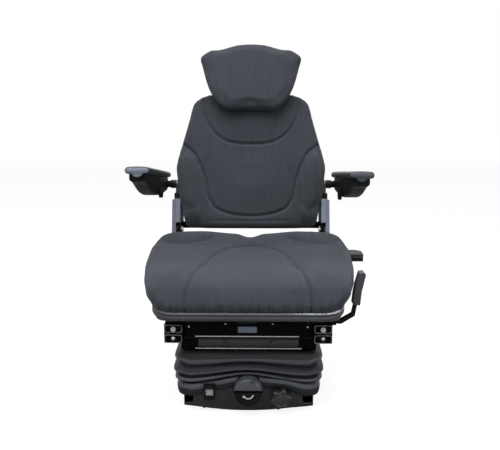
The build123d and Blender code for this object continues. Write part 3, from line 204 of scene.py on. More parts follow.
# Heights below which the seat's cover, and depths behind which the back's, stay as they are
SEAT_RIM_HELD = 0.288
BACK_REAR_HELD = 0.012


def evened(obj, move):
    """The cover's own stretch, which takes the simulation's creases out of the swelling."""
    a, b = np.array([edge.vertices[:] for edge in obj.data.edges]).T
    count = len(move)
    shares = 1 + np.bincount(a, minlength=count) + np.bincount(b, minlength=count)
    for _ in range(EVENING_ROUNDS):
        total = move.copy()
        for axis in range(3):
            total[:, axis] += (np.bincount(a, move[b, axis], count)
                               + np.bincount(b, move[a, axis], count))
        move = total / shares[:, None]
    return move


def fill_with_foam(obj, pressure, held):
    """Cloth under pressure swells between the held vertices, by no more than the cap."""
    rest = places(obj)
    group = obj.vertex_groups.new(name="held")
    group.add(np.nonzero(held)[0].tolist(), 1.0, "REPLACE")
    cloth = obj.modifiers.new("Fill", "CLOTH")
    cloth.settings.quality = 5
    cloth.settings.mass = 0.3
    cloth.settings.tension_stiffness = 12
    cloth.settings.compression_stiffness = 12
    cloth.settings.bending_stiffness = 0.6
    cloth.settings.use_pressure = True
    cloth.settings.uniform_pressure_force = pressure
    cloth.settings.effector_weights.gravity = 0
    cloth.settings.vertex_group_mass = "held"
    cloth.point_cache.frame_start = 1
    cloth.point_cache.frame_end = CLOTH_FRAMES
    scene = bpy.context.scene
    for number in range(1, CLOTH_FRAMES + 1):
        scene.frame_set(number)
    swollen = obj.evaluated_get(bpy.context.evaluated_depsgraph_get())
    co = np.empty(len(swollen.data.vertices) * 3)
    swollen.data.vertices.foreach_get("co", co)
    move = evened(obj, co.reshape(-1, 3) - rest)
    reach = np.linalg.norm(move, axis=1)[:, None]
    obj.modifiers.remove(cloth)
    obj.vertex_groups.remove(group)
    put(obj, rest + move * np.minimum(1, SWELL_CAP / np.maximum(reach, 1e-9)))
    scene.frame_set(1)


def subdivide_once(obj):
    add_modifier(obj, "Fine", "SUBSURF", levels=1, render_levels=1)
    apply_modifiers(obj)


def sew(obj, gap, along, facing, depth, width, welt, pucker=0.0):
    """Draws the cover in along a seam, with a soft welt beside it and small gathers across it."""
    normal = directions(obj)
    gather = 1 + pucker * np.sin(along * TURN / 0.011) * np.sin(along * TURN / 0.047 + 1)
    sink = depth * np.exp(-((gap / (width * gather)) ** 2)) * gather
    rise = welt * bell(gap, 2.6 * width, 1.4 * width)
    put(obj, places(obj) + normal * ((rise - sink) * facing)[:, None])


def ride_on(obj, body, slot, *nodes):
    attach(obj, body)
    if nodes:
        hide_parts(*nodes)


def finish_piece(obj, body, finish, slot, *nodes):
    """The piece gets its finish and its body, and the CAD nodes that it stands for are hidden; the slot is
    not used.
    """
    obj.data.materials.clear()
    obj.data.materials.append(finishes[finish])
    ride_on(obj, body, slot, *nodes)


def round_edges(obj, width):
    add_modifier(obj, "Edge", "BEVEL", width=width, segments=2)
    apply_modifiers(obj)


def node_copy(node, name):
    """A CAD node's own mesh as a piece, to be given a change that the photo shows."""
    obj = bpy.data.objects.new(name, frame["nodes"][node].data.copy())
    bpy.context.scene.collection.objects.link(obj)
    return obj


# Materials


def node_group(name, inputs, outputs):
    tree = bpy.data.node_groups.new(name, "ShaderNodeTree")
    for label, value in inputs:
        socket = tree.interface.new_socket(label, in_out="INPUT", socket_type="NodeSocketFloat")
        socket.default_value = value
    for label, kind in outputs:
        tree.interface.new_socket(label, in_out="OUTPUT", socket_type="NodeSocket" + kind)
    return tree, tree.nodes.new("NodeGroupInput"), tree.nodes.new("NodeGroupOutput")


def fill_socket(tree, socket, value):
    """A number or a colour is set on the socket, and another node's output is linked to it."""
    if isinstance(value, (int, float)):
        socket.default_value = value
    elif isinstance(value, tuple):
        socket.default_value = (*value, 1.0)
    else:
        tree.links.new(value, socket)


def feed(tree, node, **values):
    for label, value in values.items():
        fill_socket(tree, node.inputs[label.replace("_", " ")], value)


def noise(tree, vector, scale, detail=3.0, roughness=0.55):
    node = tree.nodes.new("ShaderNodeTexNoise")
    feed(tree, node, Vector=vector, Scale=scale, Detail=detail, Roughness=roughness)
    return node.outputs["Fac"]


def object_place(tree):
    return tree.nodes.new("ShaderNodeTexCoord").outputs["Object"]


def split_place(tree, place):
    split = tree.nodes.new("ShaderNodeSeparateXYZ")
    tree.links.new(place, split.inputs[0])
    return split.outputs[:]


def stretched(tree, place, scale):
    node = tree.nodes.new("ShaderNodeMapping")
    node.inputs["Scale"].default_value = scale
    tree.links.new(place, node.inputs["Vector"])
    return node.outputs[0]


def sums(tree, operation, a, b, clamp=False):
    node = tree.nodes.new("ShaderNodeMath")
    node.operation = operation
    node.use_clamp = clamp
    fill_socket(tree, node.inputs[0], a)
    fill_socket(tree, node.inputs[1], b)
    return node.outputs[0]


def spread(tree, value, low, high, to_low=0.0, to_high=1.0):
    node = tree.nodes.new("ShaderNodeMapRange")
    feed(tree, node, Value=value, From_Min=low, From_Max=high, To_Min=to_low, To_Max=to_high)
    return node.outputs["Result"]


def blend_colour(tree, factor, a, b):
    node = tree.nodes.new("ShaderNodeMix")
    node.data_type = "RGBA"
    tree.links.new(factor, node.inputs["Factor"])
    colours = [socket for socket in node.inputs if socket.type == "RGBA"]
    for socket, value in zip(colours, (a, b)):
        fill_socket(tree, socket, value)
    return next(socket for socket in node.outputs if socket.type == "RGBA")


def make_grain_group():
    """Moulded grain: a fine height and a broad mottle."""
    tree, start, end = node_group("Moulded grain", [("Grain per metre", 900.0), ("Mottle per metre", 9.0)],
                                  [("Height", "Float"), ("Mottle", "Float")])
    place = object_place(tree)
    fine = noise(tree, place, start.outputs[0], 2.0, 0.5)
    broad = noise(tree, place, start.outputs[1], 4.0, 0.6)
    feed(tree, end, Height=fine, Mottle=spread(tree, broad, 0.3, 0.7))
    return tree


def make_edge_group():
    """Edge wear: a mask along the edges, broken up by noise."""
    tree, start, end = node_group("Edge wear", [("Radius", 0.002), ("Break up", 120.0)],
                                  [("Mask", "Float"), ("Normal", "Vector")])
    place = object_place(tree)
    bevel = tree.nodes.new("ShaderNodeBevel")
    bevel.samples = 6
    tree.links.new(start.outputs["Radius"], bevel.inputs["Radius"])
    flat = tree.nodes.new("ShaderNodeNewGeometry").outputs["Normal"]
    dot = tree.nodes.new("ShaderNodeVectorMath")
    dot.operation = "DOT_PRODUCT"
    tree.links.new(bevel.outputs[0], dot.inputs[0])
    tree.links.new(flat, dot.inputs[1])
    edge = spread(tree, dot.outputs["Value"], 0.995, 0.90)
    broken = noise(tree, place, start.outputs["Break up"], 4.0, 0.6)
    mask = sums(tree, "MULTIPLY", edge, spread(tree, broken, 0.42, 0.66), True)
    feed(tree, end, Mask=mask, Normal=bevel.outputs[0])
    return tree


def make_weave_group():
    """Ribbed cloth: columns of loops that run up the cover, crossed by finer rows."""
    tree, start, end = node_group(
        "Ribbed weave", [("Ribs per metre", 420.0), ("Rows per metre", 620.0)],
        [("Height", "Float"), ("Shade", "Float")]
    )
    place = object_place(tree)
    x, y, z = split_place(tree, place)
    wander = noise(tree, place, 60.0, 2.0)
    shift = sums(tree, "MULTIPLY", sums(tree, "SUBTRACT", wander, 0.5), 0.0022)
    across = sums(tree, "ADD", x, shift)
    up = sums(tree, "ADD", y, z)
    ribs = sums(tree, "SINE", sums(tree, "MULTIPLY", across,
                                   sums(tree, "MULTIPLY", start.outputs[0], TURN)), 0.0)
    rows = sums(tree, "SINE", sums(tree, "MULTIPLY", sums(tree, "ADD", up, shift),
                                   sums(tree, "MULTIPLY", start.outputs[1], TURN)), 0.0)
    height = sums(tree, "ADD", sums(tree, "MULTIPLY", ribs, 0.7), sums(tree, "MULTIPLY", rows, 0.3))
    strands = noise(tree, stretched(tree, place, (1.0, 0.09, 0.09)), 170.0, 3.0, 0.7)
    patches = noise(tree, place, 6.0, 3.0, 0.5)
    shade = sums(tree, "ADD", sums(tree, "MULTIPLY", strands, 0.6), sums(tree, "MULTIPLY", patches, 0.4))
    feed(tree, end, Height=height, Shade=spread(tree, shade, 0.36, 0.64))
    return tree


def make_brushed_group():
    """Drawn or plated steel: streaks along X and a cloudy tone."""
    tree, start, end = node_group("Bright steel", [("Streaks", 700.0)],
                                  [("Height", "Float"), ("Tone", "Float")])
    place = object_place(tree)
    streak = noise(tree, stretched(tree, place, (0.04, 1.0, 1.0)), start.outputs[0], 3.0, 0.6)
    cloud = noise(tree, place, 35.0, 4.0, 0.6)
    feed(tree, end, Height=streak, Tone=spread(tree, cloud, 0.3, 0.7))
    return tree


groups = {}


def build_groups():
    groups.update(grain=make_grain_group(), edge=make_edge_group(),
                  weave=make_weave_group(), bright=make_brushed_group())


def use_group(tree, which, **values):
    node = tree.nodes.new("ShaderNodeGroup")
    node.node_tree = groups[which]
    feed(tree, node, **values)
    return node


def new_material(name):
    material = bpy.data.materials.new(name)
    material.use_nodes = True
    tree = material.node_tree
    return material, tree, tree.nodes["Principled BSDF"]


def bump(tree, height, distance, strength, normal=None):
    node = tree.nodes.new("ShaderNodeBump")
    feed(tree, node, Strength=strength, Distance=distance, Height=height)
    if normal is not None:
        tree.links.new(normal, node.inputs["Normal"])
    return node.outputs[0]


def moulded(name, dark, light, rough, grain, grain_depth, worn, wear, edge, mottle=9.0, specular=0.5):
    """Plastic, rubber or paint: mottled colour, fine grain, and rubbed edges."""
    material, tree, shader = new_material(name)
    pattern = use_group(tree, "grain", Grain_per_metre=grain, Mottle_per_metre=mottle)
    edges = use_group(tree, "edge", Radius=edge)
    base = blend_colour(tree, pattern.outputs["Mottle"], dark, light)
    amount = sums(tree, "MULTIPLY", edges.outputs["Mask"], wear)
    feed(tree, shader, Specular_IOR_Level=specular, Base_Color=blend_colour(tree, amount, base, worn),
         Roughness=spread(tree, pattern.outputs["Mottle"], 0, 1, rough - 0.06, rough + 0.08),
         Normal=bump(tree, pattern.outputs["Height"], grain_depth, 0.6, edges.outputs["Normal"]))
    return material


def woven(name, dark, light):
    material, tree, shader = new_material(name)
    weave = use_group(tree, "weave")
    feed(tree, shader, Base_Color=blend_colour(tree, weave.outputs["Shade"], dark, light),
         Roughness=0.88, Specular_IOR_Level=0.25, Sheen_Weight=0.20, Sheen_Roughness=0.45,
         Sheen_Tint=(0.68, 0.72, 0.78), Normal=bump(tree, weave.outputs["Height"], 0.0007, 0.55))
    return material


def bright_metal(name, dark, light, rough):
    material, tree, shader = new_material(name)
    steel = use_group(tree, "bright")
    feed(tree, shader, Base_Color=blend_colour(tree, steel.outputs["Tone"], dark, light), Metallic=1.0,
         Roughness=spread(tree, steel.outputs["Tone"], 0, 1, rough + 0.08, rough - 0.04),
         Normal=bump(tree, steel.outputs["Height"], 0.0001, 0.3))
    return material


RIB_SPACING = 0.0042


def lip_finish():
    """Satin rubber edging with fine ribs, rubbed to a silvery edge at the front's right end."""
    material, tree, shader = new_material("pan edging")
    place = object_place(tree)
    x, y, z = split_place(tree, place)
    pattern = use_group(tree, "grain", Grain_per_metre=700.0)
    base = blend_colour(tree, pattern.outputs["Mottle"], (0.038, 0.041, 0.046), (0.055, 0.059, 0.065))
    rubbed = noise(tree, place, 260.0, 5.0, 0.7)
    right = spread(tree, x, 0.095, 0.135)
    ahead = spread(tree, y, -0.14, -0.19)
    above = spread(tree, z, 0.2745, 0.2765)
    where = sums(tree, "MULTIPLY", sums(tree, "MULTIPLY", right, ahead), above)
    worn = sums(tree, "MULTIPLY", where, spread(tree, rubbed, 0.40, 0.56), True)
    ribs = sums(tree, "SINE", sums(tree, "MULTIPLY", x, TURN / RIB_SPACING), 0.0)
    feed(tree, shader, Base_Color=blend_colour(tree, worn, base, (0.55, 0.57, 0.60)), Roughness=0.38,
         Normal=bump(tree, ribs, 0.0002, 0.5))
    return material


finishes = {}


# Finishes of plastic, paint and plate. Each row says: the material's name, its darker and lighter colour,
# roughness, grain per metre, grain depth, and the rubbed edges' colour, share and radius. The last values,
# where given, are mottle per metre and specular level.
MOULDED = {
    "black_paint": ("satin black paint", (0.0018, 0.0018, 0.0020), (0.0034, 0.0034, 0.0037),
                    0.36, 420, 0.00012, (0.30, 0.31, 0.33), 0.6, 0.0018, 9, 0.05),
    "plastic_black": ("grained black plastic", (0.005, 0.0055, 0.006), (0.009, 0.0095, 0.0105),
                      0.45, 1500, 0.00012, (0.11, 0.115, 0.12), 0.5, 0.0015, 9, 0.12),
    "dark_steel": ("dark steel", (0.030, 0.028, 0.027), (0.070, 0.066, 0.062),
                   0.34, 300, 0.00008, (0.30, 0.29, 0.28), 0.6, 0.002),
    "worn_edge": ("worn sheet edge", (0.05, 0.053, 0.058), (0.42, 0.44, 0.47),
                  0.35, 700, 0.00008, (0.5, 0.52, 0.55), 0.5, 0.001, 160),
    "apron": ("apron plate", (0.018, 0.0195, 0.022), (0.027, 0.029, 0.033),
              0.42, 900, 0.00010, (0.15, 0.16, 0.17), 0.5, 0.0015),
    "plastic_grey": ("blue-grey plastic", (0.19, 0.215, 0.27), (0.235, 0.265, 0.33),
                     0.5, 1500, 0.0001, (0.012, 0.014, 0.018), 0.95, 0.0035),
    "plastic_mid": ("mid grey plastic", (0.038, 0.042, 0.048), (0.056, 0.061, 0.068),
                    0.42, 1500, 0.0001, (0.16, 0.17, 0.18), 0.5, 0.0015),
    "blank_plate": ("bare plate", (0.17, 0.215, 0.30), (0.22, 0.27, 0.37),
                    0.4, 900, 0.00008, (0.3, 0.34, 0.42), 0.3, 0.0008, 40),
    "foam_skin": ("armrest skin", (0.012, 0.013, 0.015), (0.019, 0.020, 0.023),
                  0.5, 700, 0.0003, (0.06, 0.065, 0.075), 0.3, 0.0015),
    "armrest_front": ("armrest front", (0.115, 0.135, 0.175), (0.27, 0.305, 0.38),
                      0.6, 500, 0.0004, (0.02, 0.022, 0.026), 0.0, 0.002, 330),
    # A darker copy of the armrest front for the right armrest: painted shade
    "armrest_front_painted_shade": ("armrest front, shaded", (0.040, 0.046, 0.056), (0.075, 0.083, 0.098),
                           0.6, 500, 0.0004, (0.02, 0.022, 0.026), 0.0, 0.002, 330),
    "knob": ("knob plastic", (0.020, 0.021, 0.023), (0.030, 0.032, 0.035),
             0.40, 1200, 0.00010, (0.13, 0.14, 0.15), 0.6, 0.002),
    "grip_grey": ("grip plastic", (0.075, 0.080, 0.092), (0.115, 0.122, 0.138),
                  0.5, 900, 0.0002, (0.2, 0.21, 0.23), 0.4, 0.002, 120),
    "white_mark": ("white marking", (0.72, 0.73, 0.74), (0.82, 0.83, 0.84),
                   0.5, 900, 0.00005, (0.5, 0.5, 0.5), 0.2, 0.0006),
}


def shades(colour, darker, lighter):
    return tuple(c * darker for c in colour), tuple(c * lighter for c in colour)


def build_finishes(settings):
    build_groups()
    for key, row in MOULDED.items():
        finishes[key] = moulded(*row)
    rubber = settings.rubber_colour
    finishes["rubber_black"] = moulded("bellows rubber", *shades(rubber, 0.8, 1.25), 0.46, 1100, 0.00012,
                                       (0.07, 0.075, 0.085), 0.4, 0.003, specular=0.35)
    # A much lighter copy of the bellows rubber for the fold crests: a painted highlight along their rims
    finishes["rubber_crest"] = moulded("bellows crest painted highlight", *shades(rubber, 3.0, 4.6), 0.42, 1100, 0.00012,
                                       (0.10, 0.105, 0.115), 0.3, 0.003)
    finishes["fabric_grey"] = woven("ribbed cover cloth", *shades(settings.cloth_colour, 0.86, 1.14))
    finishes["pan_lip"] = lip_finish()
    finishes["zinc"] = bright_metal("bright zinc", (0.50, 0.51, 0.53), (0.70, 0.71, 0.73), 0.30)


OWN_FINISH = {"blank_plate": "blank_plate", "crank_grip": "grip_grey", "slide_grip": "plastic_mid",
              "control_panel": "apron", "front_flap": "apron", "flap_clips": "knob",
              "armrest_stem_left": "dark_steel", "armrest_stem_right": "dark_steel"}


def dress_nodes():
    """Every CAD node that stays visible gets its slot's finish, or one of its own kind."""
    slots = {row["node"]: row["material_slot"] for row in frame["record"]["subparts"]}
    for name, obj in frame["nodes"].items():
        obj.data.materials.clear()
        obj.data.materials.append(finishes[OWN_FINISH.get(name, slots[name])])


# Pieces


SEAT_PANEL = mirrored([
    (0.0, 0.120), (0.058, 0.108), (0.097, 0.060), (0.121, -0.060), (0.133, -0.190), (0.138, -0.238),
    (0.1415, -0.285), (0.1425, -0.330),
])
SEAT_LENS = [(0.114, 0.152), (0.135, 0.144), (0.160, 0.135), (0.198, 0.115), (0.238, 0.095)]
BACK_PANEL = mirrored([
    (0.0, 0.0365), (0.058, 0.042), (0.098, 0.055), (0.117, 0.070), (0.132, 0.099), (0.141, 0.140),
    (0.151, 0.178), (0.176, 0.231), (0.209, 0.258),
])
BACK_YOKE = mirrored([
    (0.0, 0.261), (0.040, 0.263), (0.080, 0.272), (0.115, 0.298), (0.128, 0.317), (0.141, 0.345),
    (0.147, 0.400),
])


def unrolled_seat(co):
    """The seat's cover laid flat: across, and back from the front edge with the front rolled out."""
    drop = np.maximum(0, 0.340 - co[:, 2]) * ease(-co[:, 1], 0.15, 0.25)
    return columns(co[:, 0], co[:, 1] - 0.9 * drop)


SEAT_WIDTH = ((-0.26, -0.24, -0.22, -0.18, -0.12, -0.05, 0.05, 0.15),
              (0.975, 0.972, 0.955, 0.975, 1.030, 1.070, 1.085, 1.065))


def make_seat_cushion():
    obj = soft_blank("seat_cushion", "seat_cushion_cover", 0.0055, 14)
    co = places(obj)
    # Fuller at the rear corners and drawn in at the front ones
    wider = np.interp(co[:, 1], *SEAT_WIDTH) - 1
    co[:, 0] *= 1 + wider * ease(np.abs(co[:, 0]), 0.150, 0.235)
    x, y, z = co.T
    width = np.abs(x)
    on_top = ease(z, 0.325, 0.345)
    rear = ease(y, 0.105, 0.165) * on_top
    # The fuller humps each side of the dip at the rear, and the bolsters beside the middle panel
    co[:, 2] += rear * 0.008 * bell(width, 0.145, 0.070)
    co[:, 2] += on_top * (1 - rear) * 0.003 * bell(width, 0.180, 0.04)
    put(obj, co)
    flat = unrolled_seat(co)
    seam_gap, _ = line_distance(flat, smooth_line(SEAT_PANEL))
    mirror_flat = columns(np.abs(flat[:, 0]), flat[:, 1])
    lens_gap, _ = line_distance(mirror_flat, smooth_line(SEAT_LENS))
    upper = co[:, 2] > 0.30
    held = (co[:, 2] < SEAT_RIM_HELD) | (np.abs(directions(obj)[:, 2] + 1) < 0.4)
    fill_with_foam(obj, FOAM_PRESSURE, held | (upper & (np.minimum(seam_gap, lens_gap) < SEAM_HOLD)))
    subdivide_once(obj)
    co = places(obj)
    facing = ease(directions(obj) @ np.array((0, -0.6, 0.8)), 0.0, 0.5) * ease(co[:, 2], 0.262, 0.270)
    flat = unrolled_seat(co)
    gap, along = line_distance(flat, smooth_line(SEAT_PANEL))
    # Drawn in deeper down the front, with short puckers outside it at the turn
    deeper = facing * (1 + 0.9 * ease(-flat[:, 1], 0.16, 0.23))
    sew(obj, gap, along, deeper, 0.0036, 0.0038, 0.0008, 0.10)
    outside = ease(np.abs(flat[:, 0]), 0.138, 0.146) * bell(flat[:, 1], -0.235, 0.028)
    puckers = outside * bell(gap, 0.008, 0.007) * np.sin(flat[:, 1] * TURN / 0.0085)
    put(obj, places(obj) + directions(obj) * (0.0009 * puckers * facing)[:, None])
    mirror_flat = columns(np.abs(flat[:, 0]), flat[:, 1])
    gap, along = line_distance(mirror_flat, smooth_line(SEAT_LENS))
    sew(obj, gap, along, facing, 0.0034, 0.0042, 0.0008)
    # The break where the top turns into the front roll, and the gathers above the pan's lip
    co = places(obj)
    inside = 1 - ease(np.abs(co[:, 0]), 0.110, 0.135)
    co[:, 2] -= 0.0009 * inside * bell(co[:, 1], -0.196, 0.014) * ease(co[:, 2], 0.33, 0.34)
    lower = bell(co[:, 2], 0.284, 0.013) * ease(-directions(obj)[:, 1], 0.3, 0.8)
    gathers = np.sin(co[:, 0] * TURN / 0.026 + 2.5 * np.sin(co[:, 0] * 37)) ** 3
    gathers += 0.5 * np.sin(co[:, 0] * TURN / 0.0117 + 2.0 * np.sin(co[:, 0] * 23)) ** 3
    co[:, 1] += 0.0022 * lower * gathers
    put(obj, co)
    finish_piece(obj, "seat", "fabric_grey", "fabric_grey", "seat_cushion")


def back_coordinates(co):
    """Across, up the back, and out in front of the back's rear face."""
    from_origin = co - BACK_ORIGIN
    return co[:, 0], from_origin @ BACK_UP, from_origin @ BACK_OUT


def make_back_cushion():
    obj = soft_blank("back_cushion", "back_cushion_cover", 0.0055, 12)
    co = places(obj)
    x, up, out = back_coordinates(co)
    width = np.abs(x)
    front = ease(out, 0.030, 0.055)
    flat = columns(x, up)
    panel = smooth_line(BACK_PANEL)
    # The shoulders rise towards the extension
    shoulder = np.interp(width, (0.10, 0.130, 0.152, 0.180, 0.205), (0.013, 0.013, 0.009, 0.006, 0.0))
    co = co + BACK_UP * (shoulder * ease(up, 0.35, 0.41))[:, None]
    co[:, 0] *= 1 + 0.024 * ease(width, 0.12, 0.18) * ease(up, 0.04, 0.10)
    swell = 0.006 * bell(width, 0.186, 0.030) * ease(up, 0.03, 0.09) * (1 - ease(up, 0.20, 0.26))
    swell -= 0.004 * bell(width, 0, 0.12) * bell(up, 0.15, 0.12)
    # The bolsters run down to the lower edge
    swell += (0.0125 * ease(width, 0.146, 0.166) * (1 - ease(width, 0.198, 0.214))
              * (1 - ease(up, 0.046, 0.076)) * ease(up, 0.002, 0.040))
    lumbar = 0.004 * bell(up, 0.10, 0.05) * bell(width, 0, 0.10)
    co = co + BACK_OUT * ((swell + lumbar) * front)[:, None]
    put(obj, co)
    seam_gap, _ = line_distance(flat, panel)
    yoke_gap, _ = line_distance(flat, smooth_line(BACK_YOKE))
    seams = (out > 0.03) & (np.minimum(seam_gap, yoke_gap) < SEAM_HOLD)
    fill_with_foam(obj, FOAM_PRESSURE, seams | (out < BACK_REAR_HELD))
    subdivide_once(obj)
    facing = ease(directions(obj) @ BACK_OUT, 0.1, 0.6)
    for line, depth in ((panel, 0.0034), (smooth_line(BACK_YOKE), 0.0026)):
        x, up, out = back_coordinates(places(obj))
        gap, along = line_distance(columns(x, up), line)
        sew(obj, gap, along, facing, depth, 0.0036, 0.0010, 0.15)
    # A faint roll under the panel, above the lower edge
    co = places(obj)
    x, up, out = back_coordinates(co)
    roll = 0.0016 * bell(up, 0.022, 0.004) * (1 - ease(np.abs(x), 0.10, 0.14)) * facing
    put(obj, co - BACK_OUT * roll[:, None])
    finish_piece(obj, "back", "fabric_grey", "fabric_grey", "back_cushion")


def make_extension_pad():
    obj = soft_blank("extension_pad", "extension_cover", 0.005, 14)
    co = places(obj)
    x, up, out = back_coordinates(co)
    rise = 0.0040 * bell(np.abs(x), 0.126, 0.026) * ease(up, up.max() - 0.08, up.max() - 0.03)
    held = directions(obj) @ BACK_OUT < -0.2
    put(obj, co + BACK_UP * rise[:, None])
    fill_with_foam(obj, EXTENSION_PRESSURE, held)
    subdivide_once(obj)
    co = places(obj)
    x, up, out = back_coordinates(co)
    # The cover's edge seam, where the front panel meets the border
    border = 0.0014 * bell(out, 0.080, 0.0022)
    put(obj, co - directions(obj) * border[:, None])
    finish_piece(obj, "extension", "fabric_grey", "fabric_grey", "extension_pad")


SIDES = ((-1, "left"), (1, "right"))
ARMREST_MIDDLE = 0.287
ARMREST_HALF_WIDTH = 0.033


def make_armrest_pads():
    for side, name in SIDES:
        obj = soft_blank(f"armrest_pad_{name}", f"armrest_skin_{name}", 0.003, 5)
        co = places(obj)
        across_pad = (co[:, 0] - side * ARMREST_MIDDLE) / ARMREST_HALF_WIDTH
        top = ease(directions(obj)[:, 2], 0.3, 0.9)
        co[:, 2] += 0.0025 * top * (1 - across_pad ** 2)
        put(obj, co)
        subdivide_once(obj)
        finish_piece(obj, f"armrest_{name}", "foam_skin", "foam_skin", f"armrest_pad_{name}")
        # The front end is a cap in a lighter, speckled skin, inside a dark rim; on the right the cap takes a
        # darker copy of that skin, as painted shade
        obj.data.materials.append(finishes["armrest_front" if side < 0 else "armrest_front_painted_shade"])
        facing = np.empty(len(obj.data.polygons) * 3)
        obj.data.polygons.foreach_get("normal", facing)
        ahead = facing.reshape(-1, 3)[:, 1] < -0.86
        obj.data.polygons.foreach_set("material_index", ahead.astype(np.int32))


FOLDS = (
    # height at the sides, spread past the tray, rise at the front's middle, rise at the corners
    (0.1536, 0.006, 0.000, 0.000), (0.1500, 0.012, 0.000, 0.000), (0.1430, 0.017, 0.001, 0.001),
    (0.1330, 0.020, 0.004, 0.004), (0.1260, 0.022, 0.008, 0.008), (0.1215, 0.0225, 0.011, 0.011),
    (0.1185, 0.020, 0.012, 0.012), (0.1170, 0.014, 0.012, 0.012), (0.1150, 0.010, 0.012, 0.010),
    (0.1120, 0.014, 0.013, 0.008), (0.1060, 0.021, 0.014, 0.006), (0.1000, 0.0245, 0.015, 0.005),
    (0.0960, 0.0255, 0.015, 0.005), (0.0930, 0.023, 0.016, 0.005), (0.0915, 0.016, 0.016, 0.005),
    (0.0895, 0.011, 0.017, 0.004), (0.0870, 0.014, 0.018, 0.003), (0.0830, 0.019, 0.020, 0.003),
    (0.0790, 0.022, 0.022, 0.003), (0.0765, 0.0225, 0.022, 0.003), (0.0735, 0.019, 0.023, 0.003),
    (0.0720, 0.013, 0.023, 0.003), (0.0700, 0.009, 0.024, 0.002), (0.0680, 0.011, 0.025, 0.002),
    (0.0630, 0.016, 0.027, 0.002), (0.0550, 0.0185, 0.029, 0.002), (0.0480, 0.0175, 0.031, 0.002),
    (0.0400, 0.0165, 0.032, 0.000), (0.0360, 0.013, 0.032, -0.002), (0.0325, 0.004, 0.030, -0.003),
    (0.0290, 0.003, 0.020, -0.003),
)
BELLOWS_HALF = (0.162, 0.165)
SOFT_CORNER = 11.0
WINDOW = (-0.095, 0.0515, 0.0285, 0.0410)
# Fold rows that take the lighter rubber: a painted highlight along the crests
HIGHLIGHTED_FOLD_ROWS = (4, 5, 12, 18, 19, 24, 25)
# The valley where the hanging folds meet the roll round the controls, where the bellows are split into two
# parts
VALLEY = 22
BELLOWS_PARTS = (
    # name, first fold, last fold, height that stays, share of the height kept
    ("bellows_skirt", 0, VALLEY, 0.0546, 0.20),
    ("bellows_roll", VALLEY, len(FOLDS) - 1, 0.0290, 0.70),
)


def ring_wall(name, rows, vertices):
    """A wall of rings: a circle drawn down row by row, ready for its outline."""
    obj = primitive("circle", name, vertices=vertices, radius=1.0, fill_type="NOTHING")
    bpy.ops.object.mode_set(mode="EDIT")
    bpy.ops.mesh.select_all(action="SELECT")
    for _ in range(1, rows):
        bpy.ops.mesh.extrude_edges_move(TRANSFORM_OT_translate={"value": (0, 0, -1)})
    bpy.ops.object.mode_set(mode="OBJECT")
    co = places(obj)
    return obj, co, np.rint(-co[:, 2]).astype(int)


def square_ring(angle, half_x, half_y, power):
    """Points on a rounded rectangle, one along each ray from its middle."""
    c, s = np.cos(angle), np.sin(angle)
    reach = (np.abs(c / half_x) ** power + np.abs(s / half_y) ** power) ** (-1 / power)
    return reach * c, reach * s


def face_outwards(obj):
    activate(obj)
    bpy.ops.object.mode_set(mode="EDIT")
    bpy.ops.mesh.select_all(action="SELECT")
    bpy.ops.mesh.normals_make_consistent(inside=False)
    bpy.ops.object.mode_set(mode="OBJECT")


def make_bellows():
    """The rubber skirt: stepped folds that hang from the frame and arch over the controls in front."""
    for name, first, last, stays, keep in BELLOWS_PARTS:
        obj = make_folds(name, first, last)
        ride_on(obj, "base", "rubber_black", "bellows")
        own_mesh(obj)


def make_folds(name, first, last):
    """The folds from the first to the last, as a wall of rubber with the window's opening cut out."""
    obj, co, row = ring_wall(name, last - first + 1, 320)
    row += first
    shaped = co.copy()
    window_x, window_z, window_wide, window_high = WINDOW
    for number in range(first, last + 1):
        z, spread, arch, corner = FOLDS[number]
        chosen = row == number
        # Evenly spaced along the sides, and not by angle, so that the corners stay crisp
        turn = np.arctan2(co[chosen, 1], co[chosen, 0])
        angle = turn + 0.10 * np.sin(4 * turn)
        px, py = square_ring(angle, BELLOWS_HALF[0] + spread, BELLOWS_HALF[1] + spread, SOFT_CORNER)
        at_front = ease(-py, 0.13, 0.165)
        lift = arch * at_front * (bell(px, -0.002, 0.092) + 0.30 * bell(px, 0.095, 0.04) * (z < 0.075))
        lift += corner * ease(np.abs(px), 0.140, 0.172)
        # The lowest roll swells over the front panel, and lies back round the window's housing
        low = ease(0.075 - z, 0.0, 0.008)
        bulge = low * at_front * (0.0065 * (1 - ease(np.abs(px), 0.125, 0.160))
                                  - 0.0062 * bell(px, window_x, 0.026))
        shaped[chosen] = columns(px, py - bulge, z + lift)
    put(obj, shaped)
    face_outwards(obj)
    obj.data.materials.append(finishes["rubber_black"])
    obj.data.materials.append(finishes["rubber_crest"])
    # Faces on the crest rows get the painted highlight
    for face in obj.data.polygons:
        face.material_index = int(max(row[v] for v in face.vertices) in HIGHLIGHTED_FOLD_ROWS)
    add_modifier(obj, "Wall", "SOLIDIFY", thickness=0.0020, offset=-1)
    add_modifier(obj, "Soft", "SUBSURF", levels=1, render_levels=1)
    apply_modifiers(obj)
    if FOLDS[last][0] < window_z:
        cutter = primitive("cube", "window_cutter", (window_x, -BELLOWS_HALF[1] - 0.015, window_z), size=1.0)
        cutter.scale = (window_wide, 0.05, window_high)
        add_modifier(obj, "Window", "BOOLEAN", operation="DIFFERENCE", solver="EXACT", object=cutter)
        apply_modifiers(obj)
        bpy.data.objects.remove(cutter)
    activate(obj)
    bpy.ops.object.shade_smooth()
    return obj


APRON_WIDTH = 0.314
APRON_RAISED_HALF = 0.134
APRON_FRONT = -0.1776


